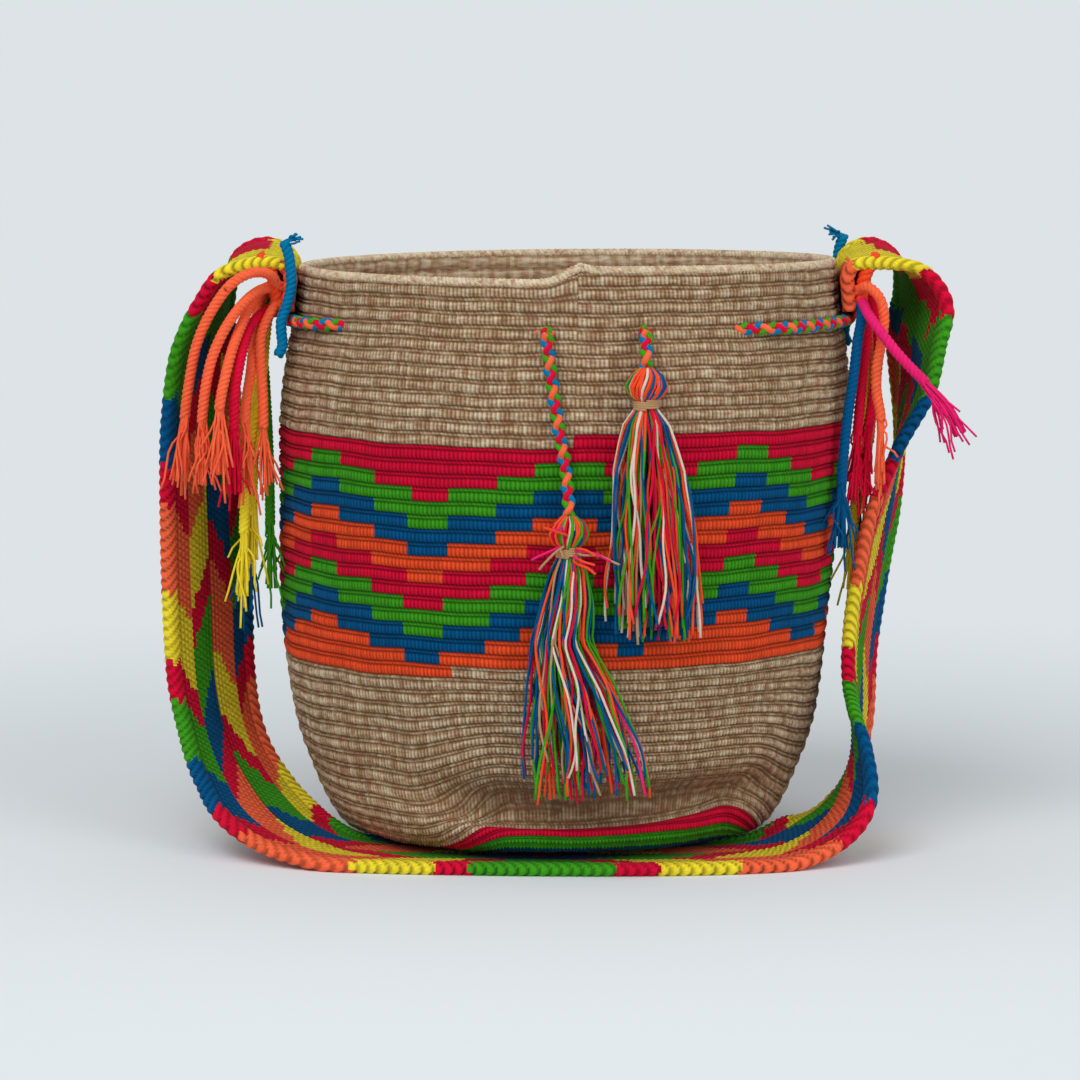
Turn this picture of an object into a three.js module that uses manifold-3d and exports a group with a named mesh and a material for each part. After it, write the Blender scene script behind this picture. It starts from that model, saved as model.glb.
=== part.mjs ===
import * as THREE from 'three';
import * as BufferGeometryUtils from 'three/addons/utils/BufferGeometryUtils.js';
import Module from 'manifold-3d';

const wasm = await Module();
wasm.setup();

// Crochet drawstring bucket bag, in millimetres. +X is the wearer's right, -Y the front, +Z up.

// Bag body
const RIM_HEIGHT = 277;
const BELLY_WIDTH = 273;
const BELLY_DEPTH = 220;
const RIM_SHIFT = 6.5;
const LEAN_START = 0.3;
const WALL = 4;
const SOLE_LIFT = 0.8;
const LIP_LIFT = 3;

// Shoulder strap
const STRAP_WIDTH = 60;
const STRAP_THICK = 5;
const STRAP_CHAMFER = 1.2;
const STRAP_END_DROP = 20;
const STRAP_BEND_DROP = 4;

// Cords and tassels
const DRAWSTRING = 6;
const DRAWSTRING_DROP = 24.5;
const TAIL_CORD = 4;
const LASHING_CORD = 4;
const TAIL_STUB = 2;
const TAIL_DROP = 15;
const NECK_RADIUS = 4.6;
const NECK_HALF = 2.4;
const BINDING_YARN = 3.2;

// Clearances
const SEAT_GAP = 0.3;
const EYELET_SLACK = 0.8;
const WALL_GAP = 0.6;

// Fineness of the faceted solids
const AROUND = 48;
const OUTER_ROWS = 18;
const INNER_ROWS = 12;
const CORD_SIDES = 8;
const TASSEL_SIDES = 14;
const DRAWSTRING_STEPS = 100;
const STRAP_STEPS = 84;
const TAIL_STEPS = 11;
const LASHING_STEPS = 10;
const HANG_STEPS = 3;
const HALVINGS = 30;
const WELD = 1e-4;

const halfWidth = BELLY_WIDTH / 2;
const halfDepth = BELLY_DEPTH / 2;
const strapRoof = STRAP_THICK + 6 * SEAT_GAP;
const strapEndHeight = RIM_HEIGHT - STRAP_END_DROP;
const drawstringHeight = RIM_HEIGHT - DRAWSTRING_DROP;
const tailHeight = RIM_HEIGHT - TAIL_DROP;
const radians = THREE.MathUtils.degToRad;
const rise = (share) => share * RIM_HEIGHT;

// Rings of the bag from the sole to the rim. Each gives the reach at the sides, the front and the
// back as a share of the half width or half depth, and the height there. The front of the sole
// rises over the strap that lies under it, rolls out as a lip, and creases in above the lip.
const RINGS = [
  { side: [0.6, 0], front: [0.11, 0], back: [0.71, 0] },
  { side: [0.71, rise(0.016)], front: [0.36, strapRoof + SOLE_LIFT], back: [0.82, rise(0.011)] },
  { side: [0.77, rise(0.044)], front: [0.84, strapRoof + LIP_LIFT], back: [0.88, rise(0.033)] },
  { side: [0.815, rise(0.08)], front: [0.935, rise(0.075)], back: [0.92, rise(0.069)] },
  { side: [0.864, rise(0.137)], front: [0.875, rise(0.122)], back: [0.945, rise(0.137)] },
  { side: [0.908, rise(0.202)], front: [0.918, rise(0.202)], back: [0.964, rise(0.202)] },
  { side: [0.949, rise(0.325)], front: [0.964, rise(0.325)], back: [0.982, rise(0.325)] },
  { side: [0.974, rise(0.487)], front: [0.991, rise(0.487)], back: [1, rise(0.487)] },
  { side: [1, rise(0.722)], front: [1, rise(0.722)], back: [1, rise(0.722)] },
  { side: [0.982, rise(0.848)], front: [0.982, rise(0.848)], back: [0.982, rise(0.848)] },
  { side: [0.953, rise(0.931)], front: [0.964, rise(0.931)], back: [0.964, rise(0.931)] },
  { side: [0.941, RIM_HEIGHT], front: [0.955, RIM_HEIGHT], back: [0.955, RIM_HEIGHT] },
];
const FIRST_WALL_RING = 4;

// Point of one ring at an angle in degrees from the front, positive to the right.
function ringPoint(ring, angle) {
  const across = Math.sin(radians(angle));
  const along = Math.cos(radians(angle));
  const end = along > 0 ? ring.front : ring.back;
  const height = ring.side[1] * across ** 2 + end[1] * along ** 2;
  const lean = RIM_SHIFT * THREE.MathUtils.smoothstep(height, rise(LEAN_START), RIM_HEIGHT);
  const x = lean + halfWidth * ring.side[0] * across;
  const y = -halfDepth * end[0] * along;
  return new THREE.Vector3(x, y, height);
}

// Curve up the outside of the bag at one angle, from the sole's edge to the rim.
function wallProfile(angle) {
  return new THREE.CatmullRomCurve3(RINGS.map((ring) => ringPoint(ring, angle)));
}

// Point at a given height, a given distance out from the wall (negative is into the bag).
function wallPoint(angle, height, out) {
  const profile = wallProfile(angle);
  let low = FIRST_WALL_RING / (RINGS.length - 1);
  let high = 1;
  for (let step = 0; step < HALVINGS; step += 1) {
    const middle = (low + high) / 2;
    if (profile.getPoint(middle).z < height) low = middle;
    else high = middle;
  }
  const ellipseNormal = new THREE.Vector3(
    Math.sin(radians(angle)) / halfWidth,
    -Math.cos(radians(angle)) / halfDepth,
    0,
  );
  return profile.getPoint(low).addScaledVector(ellipseNormal.normalize(), out);
}

// Point of the wall straight behind a point in front of the bag.
function wallBehind({ x, z }) {
  const right = wallPoint(90, z, 0).x;
  const left = wallPoint(-90, z, 0).x;
  const share = (2 * x - right - left) / (right - left);
  return wallPoint(THREE.MathUtils.radToDeg(Math.asin(share)), z, 0);
}

// Point of the inside face, one wall thickness in from the outside along the profile's normal.
function innerPoint(angle, place) {
  const profile = wallProfile(angle);
  const tangent = profile.getTangent(place);
  const radial = new THREE.Vector3(Math.sin(radians(angle)), -Math.cos(radians(angle)), 0);
  const inward = radial.clone().multiplyScalar(-tangent.z);
  inward.z = tangent.dot(radial);
  return profile.getPoint(place).addScaledVector(inward.normalize(), WALL);
}

// Closed surface over rows of points that run round an axis, with a pole point at each end.
function closedRows(firstPole, rows, lastPole) {
  const sides = rows[0].length;
  const points = [firstPole, ...rows.flat(), lastPole];
  const last = points.length - 1;
  const index = [];
  for (let i = 0; i < sides; i += 1) {
    const next = (i + 1) % sides;
    index.push(0, 1 + next, 1 + i);
    for (let row = 0; row + 1 < rows.length; row += 1) {
      const a = 1 + row * sides + i;
      const b = 1 + row * sides + next;
      index.push(a, b, b + sides, a, b + sides, a + sides);
    }
    index.push(last, last - sides + i, last - sides + next);
  }
  const geometry = new THREE.BufferGeometry().setFromPoints(points);
  geometry.setIndex(index);
  return geometry;
}

// Round cord along a list of points.
function cord(points, diameter, steps) {
  const outline = new THREE.Shape();
  for (let i = 0; i < CORD_SIDES; i += 1) {
    const turn = (2 * Math.PI * i) / CORD_SIDES;
    const x = (diameter / 2) * Math.cos(turn);
    const y = (diameter / 2) * Math.sin(turn);
    if (i === 0) outline.moveTo(x, y);
    else outline.lineTo(x, y);
  }
  const extrudePath = new THREE.CatmullRomCurve3(points);
  return new THREE.ExtrudeGeometry(outline, { extrudePath, steps, curveSegments: 1 });
}

// Solid of a geometry, for cutting.
function solidOf(geometry) {
  const bare = geometry.clone();
  bare.deleteAttribute('normal');
  bare.deleteAttribute('uv');
  const merged = BufferGeometryUtils.mergeVertices(bare, WELD);
  return new wasm.Manifold(new wasm.Mesh({
    numProp: 3,
    vertProperties: new Float32Array(merged.attributes.position.array),
    triVerts: new Uint32Array(merged.index.array),
  }));
}

function geometryOf(solid) {
  const mesh = solid.getMesh();
  const geometry = new THREE.BufferGeometry();
  geometry.setAttribute('position', new THREE.BufferAttribute(mesh.vertProperties, 3));
  geometry.setIndex(new THREE.BufferAttribute(mesh.triVerts, 1));
  return geometry;
}

const group = new THREE.Group();

function add(name, geometry, color, roughness = 0.9) {
  const material = new THREE.MeshStandardMaterial({ color, roughness, metalness: 0 });
  const mesh = new THREE.Mesh(geometry, material);
  mesh.name = name;
  group.add(mesh);
}

// Drawstring: starts at the left front eyelet, goes round by the back and ends at the right front
// eyelet, inside and outside the wall by turns.
const EYELETS = [-4.5, -57, -125, -165, -195, -235, -321, -345];
const EYELET_BEND = 7;
const RUN_STEP = 9;
const runOut = DRAWSTRING / 2 + EYELET_SLACK + SEAT_GAP / 2;
const runIn = -WALL - runOut;
const drawstringRoute = [wallPoint(EYELETS[0], drawstringHeight, SEAT_GAP)];
for (let i = 0; i + 1 < EYELETS.length; i += 1) {
  const out = i % 2 === 0 ? runIn : runOut;
  const from = EYELETS[i] - EYELET_BEND;
  const to = EYELETS[i + 1] + EYELET_BEND;
  const pieces = Math.max(1, Math.round((from - to) / RUN_STEP));
  drawstringRoute.push(wallPoint(EYELETS[i], drawstringHeight, -WALL / 2));
  for (let k = 0; k <= pieces; k += 1) {
    drawstringRoute.push(wallPoint(from + ((to - from) * k) / pieces, drawstringHeight, out));
  }
}
drawstringRoute.push(wallPoint(EYELETS.at(-1), drawstringHeight, -WALL / 2));
drawstringRoute.push(wallPoint(EYELETS.at(-1), drawstringHeight, SEAT_GAP));

// Bag body, a cup with the eyelets cut by the drawstring's own route.
const angles = Array.from({ length: AROUND }, (_, i) => (360 * i) / AROUND);
const outerRows = Array.from({ length: OUTER_ROWS + 1 }, (_, row) => (
  angles.map((angle) => wallProfile(angle).getPoint(row / OUTER_ROWS))
));
const innerRows = Array.from({ length: INNER_ROWS + 1 }, (_, row) => (
  angles.map((angle) => innerPoint(angle, 1 - row / INNER_ROWS))
));
const soleMiddle = new THREE.Vector3(0, 0, 0);
const floorMiddle = new THREE.Vector3(0, 0, WALL);
const cup = solidOf(closedRows(soleMiddle, [...outerRows, ...innerRows], floorMiddle));
const eyelets = solidOf(cord(drawstringRoute, DRAWSTRING + 2 * EYELET_SLACK, DRAWSTRING_STEPS));
add('bag_body', geometryOf(cup.subtract(eyelets)), 0xb08d66);
add('drawstring', cord(drawstringRoute, DRAWSTRING, DRAWSTRING_STEPS), 0xe0563c);

// Shoulder strap. The ends lie on the wall, arch out over the rim and fall at each side; the middle
// lies on the floor under the lip. Turn swings the width round from +Y, tilt lifts its back edge.
function strapEnd(side) {
  const seat = 2 * SEAT_GAP + STRAP_THICK / 2;
  const bend = RIM_HEIGHT - STRAP_BEND_DROP;
  const heights = [strapEndHeight, (strapEndHeight + RIM_HEIGHT) / 2, bend];
  return heights.map((height) => ({ at: wallPoint(side * 90, height, seat), turn: 0, tilt: 0 }));
}

// Arch over the rim: distance out from the rim's side, height above the rim, turn on the left side.
const ARCH = [[7, 3, 0], [19, 6, 2], [33, 0, 6], [41, -16, 12]];
function strapArch(side) {
  const rim = wallPoint(side * 90, RIM_HEIGHT, 0);
  return ARCH.map(([out, above, turn]) => ({
    at: new THREE.Vector3(rim.x + side * out, 0, RIM_HEIGHT + above),
    turn,
    tilt: 0,
  }));
}

// Hanging runs: distance out from the belly, place along Y, share of the rim height, turn, tilt.
const LEFT_RUN = [
  [32, 0, 0.85, 24, 0], [33.5, 0, 0.72, 32, 0], [32.5, 0, 0.54, 36, 0], [31.5, 0, 0.415, 37, 0],
  [29.5, -2, 0.27, 35, 0], [23.5, -8, 0.175, 30, 4], [11, -24, 0.1, 20, 12], [-6, -46, 0.048, 14, 10],
];
const RIGHT_RUN = [
  [37, 0, 0.87, 14, 0], [35.5, 0, 0.79, 16, 0], [29.5, 0, 0.69, 18, 0], [20, 0, 0.54, 18, 0],
  [14, -1, 0.415, 18, 0], [11, -4, 0.325, 16, 0], [10, -13, 0.215, 12, 2], [5, -30, 0.13, 4, 8],
  [-7, -48, 0.06, -8, 9],
];
function strapRun(side, run) {
  return run.map(([out, y, share, turn, tilt]) => ({
    at: new THREE.Vector3(side * (halfWidth + out), y, rise(share)),
    turn,
    tilt,
  }));
}

// Floor run: shares of the half width and half depth, rise off the floor, turn, tilt.
const FLOOR_RUN = [[-0.78, -0.56, 2, 11, 3], [-0.58, -0.61, 0, 6, 0], [-0.28, -0.645, 0, 3, 0],
  [0, -0.665, 0, 0, 0], [0.28, -0.665, 0, -2, 0], [0.58, -0.63, 0, -8, 0], [0.78, -0.56, 2, -14, 3]];
const strapRest = STRAP_THICK / 2 + SEAT_GAP;
const strapFloor = FLOOR_RUN.map(([x, y, lift, turn, tilt]) => ({
  at: new THREE.Vector3(x * halfWidth, y * halfDepth, strapRest + lift),
  turn,
  tilt,
}));

const strapStations = [
  ...strapEnd(-1),
  ...strapArch(-1),
  ...strapRun(-1, LEFT_RUN),
  ...strapFloor,
  ...strapRun(1, RIGHT_RUN).reverse(),
  ...strapArch(1).reverse(),
  ...strapEnd(1).reverse(),
];
const strapLine = new THREE.CatmullRomCurve3(strapStations.map(({ at }) => at));
const strapAcross = new THREE.CatmullRomCurve3(strapStations.map(({ turn, tilt }) => (
  new THREE.Vector3(
    Math.sin(radians(turn)) * Math.cos(radians(tilt)),
    Math.cos(radians(turn)) * Math.cos(radians(tilt)),
    Math.sin(radians(tilt)),
  )
)));

// Chamfered section of the band at one place along it.
function strapSection(place) {
  const tangent = strapLine.getTangent(place);
  const across = strapAcross.getPoint(place);
  across.addScaledVector(tangent, -across.dot(tangent)).normalize();
  const up = new THREE.Vector3().crossVectors(tangent, across);
  const w = STRAP_WIDTH / 2;
  const t = STRAP_THICK / 2;
  const c = STRAP_CHAMFER;
  const right = [[w - c, -t], [w, c - t], [w, t - c], [w - c, t]];
  const left = [[c - w, t], [-w, t - c], [-w, c - t], [c - w, -t]];
  return [...right, ...left].map(([x, y]) => (
    strapLine.getPoint(place).addScaledVector(across, x).addScaledVector(up, y)
  ));
}
const strapRows = Array.from({ length: STRAP_STEPS + 1 }, (_, i) => strapSection(i / STRAP_STEPS));
const strap = closedRows(strapLine.getPoint(0), strapRows, strapLine.getPoint(1));
add('shoulder_strap', strap, 0xd8433c);

// Tails: routes as distance out from the strap end's outer face, place along Y and height above
// tailHeight.
const LEFT_TAILS = [
  { color: 0xf4683f, route: [[0, -27.5, 7], [6, -37, 13], [14, -45, 14], [23, -48, 9], [32, -49, -3],
    [39, -49, -18], [43, -48, -36], [46, -47, -58], [48, -46, -84]] },
  { color: 0xf4683f, route: [[0, -20.5, 4], [7, -28, 6], [13, -39, 4], [20, -48, -3], [27, -54, -14],
    [32, -56, -26], [35, -56, -40], [37, -55, -58], [38, -54, -85]] },
  { color: 0xf4683f, route: [[0, -14.5, 6], [8, -20, 6], [14, -31, 0], [18, -43, -9], [22, -53, -20],
    [25, -59, -32], [28, -62, -48], [29, -62, -79]] },
  { color: 0xc8103c, route: [[0, -20.5, -3], [8, -24, -5], [14, -34, -10], [17, -45, -18],
    [19, -53, -28], [21, -56, -40], [22, -55, -62], [22, -53, -89]] },
  { color: 0xf4683f, route: [[0, -9, 4], [9, -12, 3], [13, -20, -8], [14, -29, -20], [15, -38, -34],
    [17, -45, -50], [17, -47, -87]] },
  { color: 0xecd628, route: [[0, -13, -2.5], [7, -15, -6], [9, -20, -18], [10, -27, -34], [13, -35, -52],
    [17, -40, -82], [20, -41, -139]] },
  { color: 0xecd628, route: [[0, -5, -2.5], [8, -6, -6], [12, -11, -20], [13, -19, -40], [14, -27, -64],
    [15, -31, -90], [16, -33, -123]] },
  { color: 0xf4683f, route: [[0, -27, -2], [6, -31, -6], [10, -34, -16], [10, -37, -30], [9, -42, -46],
    [9, -45, -86]] },
  { color: 0x4e9623, route: [[0, 3, 3], [9, 1, 1], [12, -3, -14], [10, -10, -40], [8, -18, -75],
    [7, -24, -138]] },
  { color: 0x00548a, route: [[0, 10, 0], [10, 10, -4], [15, 7, -20], [17, 2, -50], [17, -6, -86],
    [20, -14, -150]] },
];
const RIGHT_TAILS = [
  { color: 0xf4683f, route: [[0, -27.5, 5], [6, -36, 7], [11, -41, 2], [13, -42, -6], [12, -42, -18],
    [10, -41, -30], [10, -40, -42], [12, -40, -54], [13, -40, -86]] },
  { color: 0xe82878, route: [[0, -20.5, 2], [4, -30, -1], [6, -41, -6], [10, -49, -12], [16, -51, -20],
    [24, -52, -29], [32, -52, -37], [42, -52, -48], [49, -52, -61]] },
  { color: 0xc8103c, route: [[0, -14.5, -2.5], [6, -18, -6], [6, -26, -18], [4, -33, -34],
    [2, -35, -56], [-1, -35, -94]] },
  { color: 0xc8103c, route: [[0, -9, 4], [7, -12, 4], [11, -18, -5], [12, -25, -22], [10, -29, -42],
    [7, -31, -60], [4, -29, -89]] },
  { color: 0x00548a, route: [[0, -27.5, -3], [3, -33, -9], [1, -39, -18], [-1, -42, -34], [-4, -43, -56],
    [-6, -43, -79], [-7, -42, -116]] },
  { color: 0xf4683f, route: [[0, -3.5, -2.5], [8, -5, -7], [11, -10, -22], [10, -16, -45],
    [8, -20, -70], [4, -21, -98]] },
  { color: 0xecd628, route: [[0, 3, 3], [8, 2, 1], [11, -2, -14], [9, -6, -45], [4, -9, -85],
    [0, -11, -140]] },
  { color: 0x4e9623, route: [[0, 9.5, -2], [9, 9, -6], [12, 6, -24], [9, 3, -60], [5, 1, -95],
    [2, 0, -122]] },
];

// Points beside one strap end, from distances out, along Y and up.
function besideStrapEnd(side, route) {
  const face = wallPoint(side * 90, tailHeight, STRAP_THICK + 2 * SEAT_GAP);
  return route.map(([out, y, above]) => (
    new THREE.Vector3(face.x + side * out, y, tailHeight + above)
  ));
}

// Tail that leaves the strap end square to its outer face and then follows its route.
function tail(side, [[, y, above], ...rest]) {
  const start = wallPoint(side * 90, tailHeight + above, STRAP_THICK + 4 * SEAT_GAP);
  start.y = y;
  const stub = start.clone();
  stub.x += side * TAIL_STUB;
  return cord([start, stub, ...besideStrapEnd(side, rest)], TAIL_CORD, TAIL_STEPS);
}
LEFT_TAILS.forEach(({ color, route }, i) => add(`left_tail_${i + 1}`, tail(-1, route), color));
RIGHT_TAILS.forEach(({ color, route }, i) => add(`right_tail_${i + 1}`, tail(1, route), color));

// Lashings run down one edge of each strap end, over the drawstring and under the end: distance
// out, distance beyond the strap's edge, height above tailHeight.
const LASHING = [[-1, 0.2, 28], [-3, 0, 22], [-4, 0, 14], [-4, 0, 6], [-2, 1, -2], [0.5, 2, -9],
  [0.5, 2.5, -15], [0, 3.5, -21], [2, 4.5, -25]];
const edgeOut = (STRAP_WIDTH + LASHING_CORD) / 2 + SEAT_GAP;
function lashing(side, edge) {
  const route = LASHING.map(([out, beyond, above]) => [out, edge * (edgeOut + beyond), above]);
  return besideStrapEnd(side, route);
}
add('left_lashing', cord(lashing(-1, -1), LASHING_CORD, LASHING_STEPS), 0x0a78b4);
add('right_lashing', cord(lashing(1, 1), LASHING_CORD, LASHING_STEPS), 0x0a78b4);

// Tassels: heights are measured from the neck; each skirt ring gives its height, the drift of its
// middle to the right, its half width and its half depth. A tassel hangs clear of the wall behind it.
const HEAD_HALF_DEPTH = 8;
const HEAD = [[16.5, 0, 3, 3], [13, 0, 7.6, 6.4], [8.5, 0, 10, HEAD_HALF_DEPTH], [4.5, 0, 8, 6.6],
  [NECK_HALF, 0, NECK_RADIUS, NECK_RADIUS], [-NECK_HALF, 0, NECK_RADIUS, NECK_RADIUS]];
const HEAD_TOP = 17.5;
const PLUMB_END = 3.5;
const TASSELS = [
  {
    name: 'left',
    eyelet: EYELETS[0],
    turns: [-4.5, -3.2, -1.6, 0.2, 1.6],
    neckDrop: 99,
    skirt: [[-9, 0, 8, 6], [-23, -1, 11, 8], [-41, -3.5, 13, 9], [-63, 2, 20, 10],
      [-90, 7, 26, 11], [-112, 9.5, 29, 11]],
    skirtEnd: -113.5,
  },
  {
    name: 'right',
    eyelet: EYELETS.at(-1),
    turns: [15, 14.5],
    neckDrop: 32,
    skirt: [[-9, 0.5, 8, 6], [-30, 1, 12, 8], [-70, 3, 17, 9.5], [-107, 4.5, 19, 10]],
    skirtEnd: -108.5,
  },
];
TASSELS.forEach(({ name, eyelet, turns, neckDrop, skirt, skirtEnd }) => {
  const neckHeight = drawstringHeight - neckDrop;
  const cordEnd = neckHeight + HEAD_TOP + SEAT_GAP;
  const drop = drawstringHeight - cordEnd;
  const last = turns.length - 1;
  const neck = wallPoint(turns[last], neckHeight, HEAD_HALF_DEPTH + 2 * WALL_GAP);
  const ringOffsets = [...HEAD, ...skirt].map(([above, drift, wide, deep]) => (
    Array.from({ length: TASSEL_SIDES }, (_, i) => {
      const turn = (2 * Math.PI * i) / TASSEL_SIDES;
      return new THREE.Vector3(drift - wide * Math.sin(turn), -deep * Math.cos(turn), above);
    })
  ));
  const pushes = ringOffsets.flat().map((offset) => {
    const at = offset.clone().add(neck);
    return wallBehind(at).y - SEAT_GAP / 2 - at.y;
  });
  neck.y += Math.min(0, ...pushes);
  const hangRoute = turns.slice(0, last).map((turn, i) => wallPoint(
    turn,
    drawstringHeight - (drop * i) / last,
    DRAWSTRING / 2 + (i === 0 ? SEAT_GAP + 2 * WALL_GAP : WALL_GAP),
  ));
  hangRoute.push(new THREE.Vector3(neck.x, neck.y, cordEnd + PLUMB_END));
  hangRoute.push(new THREE.Vector3(neck.x, neck.y, cordEnd));
  add(`${name}_drawcord`, cord(hangRoute, DRAWSTRING, HANG_STEPS * turns.length), 0xe0563c);

  const rings = ringOffsets.map((ring) => ring.map((offset) => offset.clone().add(neck)));
  const lastDrift = skirt.at(-1)[1];
  const top = new THREE.Vector3(0, 0, HEAD_TOP).add(neck);
  const bottom = new THREE.Vector3(lastDrift, 0, skirtEnd).add(neck);
  add(`${name}_tassel`, closedRows(top, rings, bottom), 0xc23a4a);

  const binding = new THREE.TorusGeometry(
    NECK_RADIUS + SEAT_GAP + BINDING_YARN / 2,
    BINDING_YARN / 2,
    CORD_SIDES,
    TASSEL_SIDES,
  );
  binding.translate(neck.x, neck.y, neck.z);
  add(`${name}_tassel_binding`, binding, 0xb48c64);
});

export default group;
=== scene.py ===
"""Crochet bucket bag with a woven strap, twisted tails, a braided drawstring and two tassels."""

import math

import bpy
import numpy as np
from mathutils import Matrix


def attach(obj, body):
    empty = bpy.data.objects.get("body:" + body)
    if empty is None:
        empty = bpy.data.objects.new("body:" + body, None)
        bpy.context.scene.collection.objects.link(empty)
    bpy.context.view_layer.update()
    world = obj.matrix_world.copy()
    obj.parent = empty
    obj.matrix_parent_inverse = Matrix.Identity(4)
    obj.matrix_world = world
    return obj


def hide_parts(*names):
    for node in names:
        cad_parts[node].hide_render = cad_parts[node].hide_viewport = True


bl_info = {
    "name": "Crochet Bucket Bag",
    "version": (1, 0, 0),
    "blender": (4, 5, 0),
    "location": "3D View > Sidebar > Bag",
    "description": "Crochet bucket bag with a woven strap, twisted tails and tassels",
    "category": "Add Mesh",
}

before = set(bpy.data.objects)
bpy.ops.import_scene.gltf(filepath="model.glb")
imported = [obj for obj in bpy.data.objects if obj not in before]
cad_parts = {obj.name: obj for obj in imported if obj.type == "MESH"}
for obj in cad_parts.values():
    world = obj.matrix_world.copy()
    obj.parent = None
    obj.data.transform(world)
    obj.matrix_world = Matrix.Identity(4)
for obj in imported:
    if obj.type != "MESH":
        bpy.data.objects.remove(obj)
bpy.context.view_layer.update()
MM = 0.001

# Bag body, in millimetres: its rings from the sole to the rim, as the reach at the sides, the front
# and the back (share of the half width or half depth) and the height there.
RIM_HEIGHT = 277.0
HALF_WIDTH = 136.5
HALF_DEPTH = 110.0
RIM_SHIFT = 6.5
WALL = 4.0
STRAP_THICK = 5.0
SEAT_GAP = 0.3
STRAP_ROOF = STRAP_THICK + 6 * SEAT_GAP
SIDE_REACH = np.array([0.6, 0.71, 0.77, 0.815, 0.864, 0.908, 0.949, 0.974, 1, 0.982, 0.953, 0.941])
FRONT_REACH = np.array([0.11, 0.36, 0.84, 0.935, 0.875, 0.918, 0.964, 0.991, 1, 0.982, 0.964, 0.955])
BACK_REACH = np.array([0.71, 0.82, 0.88, 0.92, 0.945, 0.964, 0.982, 1, 1, 0.982, 0.964, 0.955])
UPPER_RISE = [0.202, 0.325, 0.487, 0.722, 0.848, 0.931, 1]
SIDE_RISE = RIM_HEIGHT * np.array([0, 0.016, 0.044, 0.08, 0.137] + UPPER_RISE)
FRONT_RISE = RIM_HEIGHT * np.array([0, 0, 0, 0.075, 0.122] + UPPER_RISE)
FRONT_RISE[1:3] = STRAP_ROOF + 0.8, STRAP_ROOF + 3
BACK_RISE = RIM_HEIGHT * np.array([0, 0.011, 0.033, 0.069, 0.137] + UPPER_RISE)
FIRST_WALL_RING = 4
FLOOR_GAP = 0.2
FOLD_DEPTH = 12.0
# Painted shade: the share by which the yarn's colour is darkened just above the fold over the front lip.
FOLD_SHADE = 0.6

# Crochet rounds: they wind down from the rim as one spiral that starts at the seam.
SEAM = 1.6
ROUND_UPPER = 6.2
ROUND_BAND = 6.4
ROUND_BASE = 4.6
BAND_START = 12
BAND_ROUNDS = 17
BASE_START = 43
BASE_ROUNDS = 7
BAND_END_ANGLE = -21.7

# Edges of the zigzag's steps round the bag, in degrees from the front, positive to the right.
STEP_EDGES = [-59.7, -49.6, -39.8, -31.0, -22.3, -12.8, -5.5, 1.6, 7.8, 13.9, 20.0, 26.2, 35.4, 43.7,
              51.1, 58.8, 71.1]
STEPS_BEHIND = 26
STEP_LEVELS = np.array([0, 1, 2, 3, 2, 1])
STEP_LEAN = 2.5

YARNS = ("natural", "crimson", "green", "blue", "orange", "coral", "azure", "yellow", "pink", "cream", "beige")
YARN = {name: place for place, name in enumerate(YARNS)}
BAND_YARNS = np.array([YARN[n] for n in (
    "crimson", "green", "blue", "orange", "crimson", "green", "blue", "orange")])


# Curves and grids

def catmull(points, places):
    """Centripetal Catmull-Rom curve through points, read at places from 0 at the first to 1 at the last."""
    points = np.asarray(points, float)
    full = np.concatenate([2 * points[:1] - points[1:2], points, 2 * points[-1:] - points[-2:-1]])
    spans = len(points) - 1
    at = np.clip(np.asarray(places, float) * spans, 0, spans - 1e-9)
    first = at.astype(int)
    part = (at - first)[:, None]
    return hermite([full[first + k] for k in range(4)], part)


def hermite(corners, part):
    """Cubic between the middle two of four points, with knots a square root of distance apart."""
    p0, p1, p2, p3 = corners
    d0, d1, d2 = (np.sqrt(np.linalg.norm(b - a, axis=-1, keepdims=True)) + 1e-6
                  for a, b in ((p0, p1), (p1, p2), (p2, p3)))
    t1 = ((p1 - p0) / d0 - (p2 - p0) / (d0 + d1) + (p2 - p1) / d1) * d1
    t2 = ((p2 - p1) / d1 - (p3 - p1) / (d1 + d2) + (p3 - p2) / d2) * d1
    bend = -3 * p1 + 3 * p2 - 2 * t1 - t2
    twist = 2 * p1 - 2 * p2 + t1 + t2
    return p1 + t1 * part + bend * part ** 2 + twist * part ** 3


def smoothstep(value, low, high):
    """Smooth rise from 0 at low to 1 at high."""
    share = np.clip((np.asarray(value, float) - low) / (high - low), 0, 1)
    return share * share * (3 - 2 * share)


def unit(vectors):
    """Vectors at length one."""
    return vectors / np.maximum(np.linalg.norm(vectors, axis=-1, keepdims=True), 1e-12)


def lengths(path):
    """Distance along a path at each of its points."""
    steps = np.linalg.norm(np.diff(path, axis=0), axis=1)
    return np.concatenate([[0], np.cumsum(steps)])


def even_path(points, count):
    """Path through points, at count places an equal distance apart."""
    fine = catmull(points, np.linspace(0, 1, 12 * len(points)))
    run = lengths(fine)
    want = np.linspace(0, run[-1], count)
    return np.stack([np.interp(want, run, fine[:, axis]) for axis in range(3)], -1)


def side_frames(paths):
    """Two directions square to each path and to each other, from the axis that the path least follows."""
    along = unit(np.gradient(paths, axis=-2))
    worst = np.abs(along).max(axis=-2)
    axis = np.eye(3)[np.argmin(worst, axis=-1)]
    first = unit(np.cross(along, np.broadcast_to(axis[..., None, :], along.shape)))
    return first, np.cross(along, first)


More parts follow.
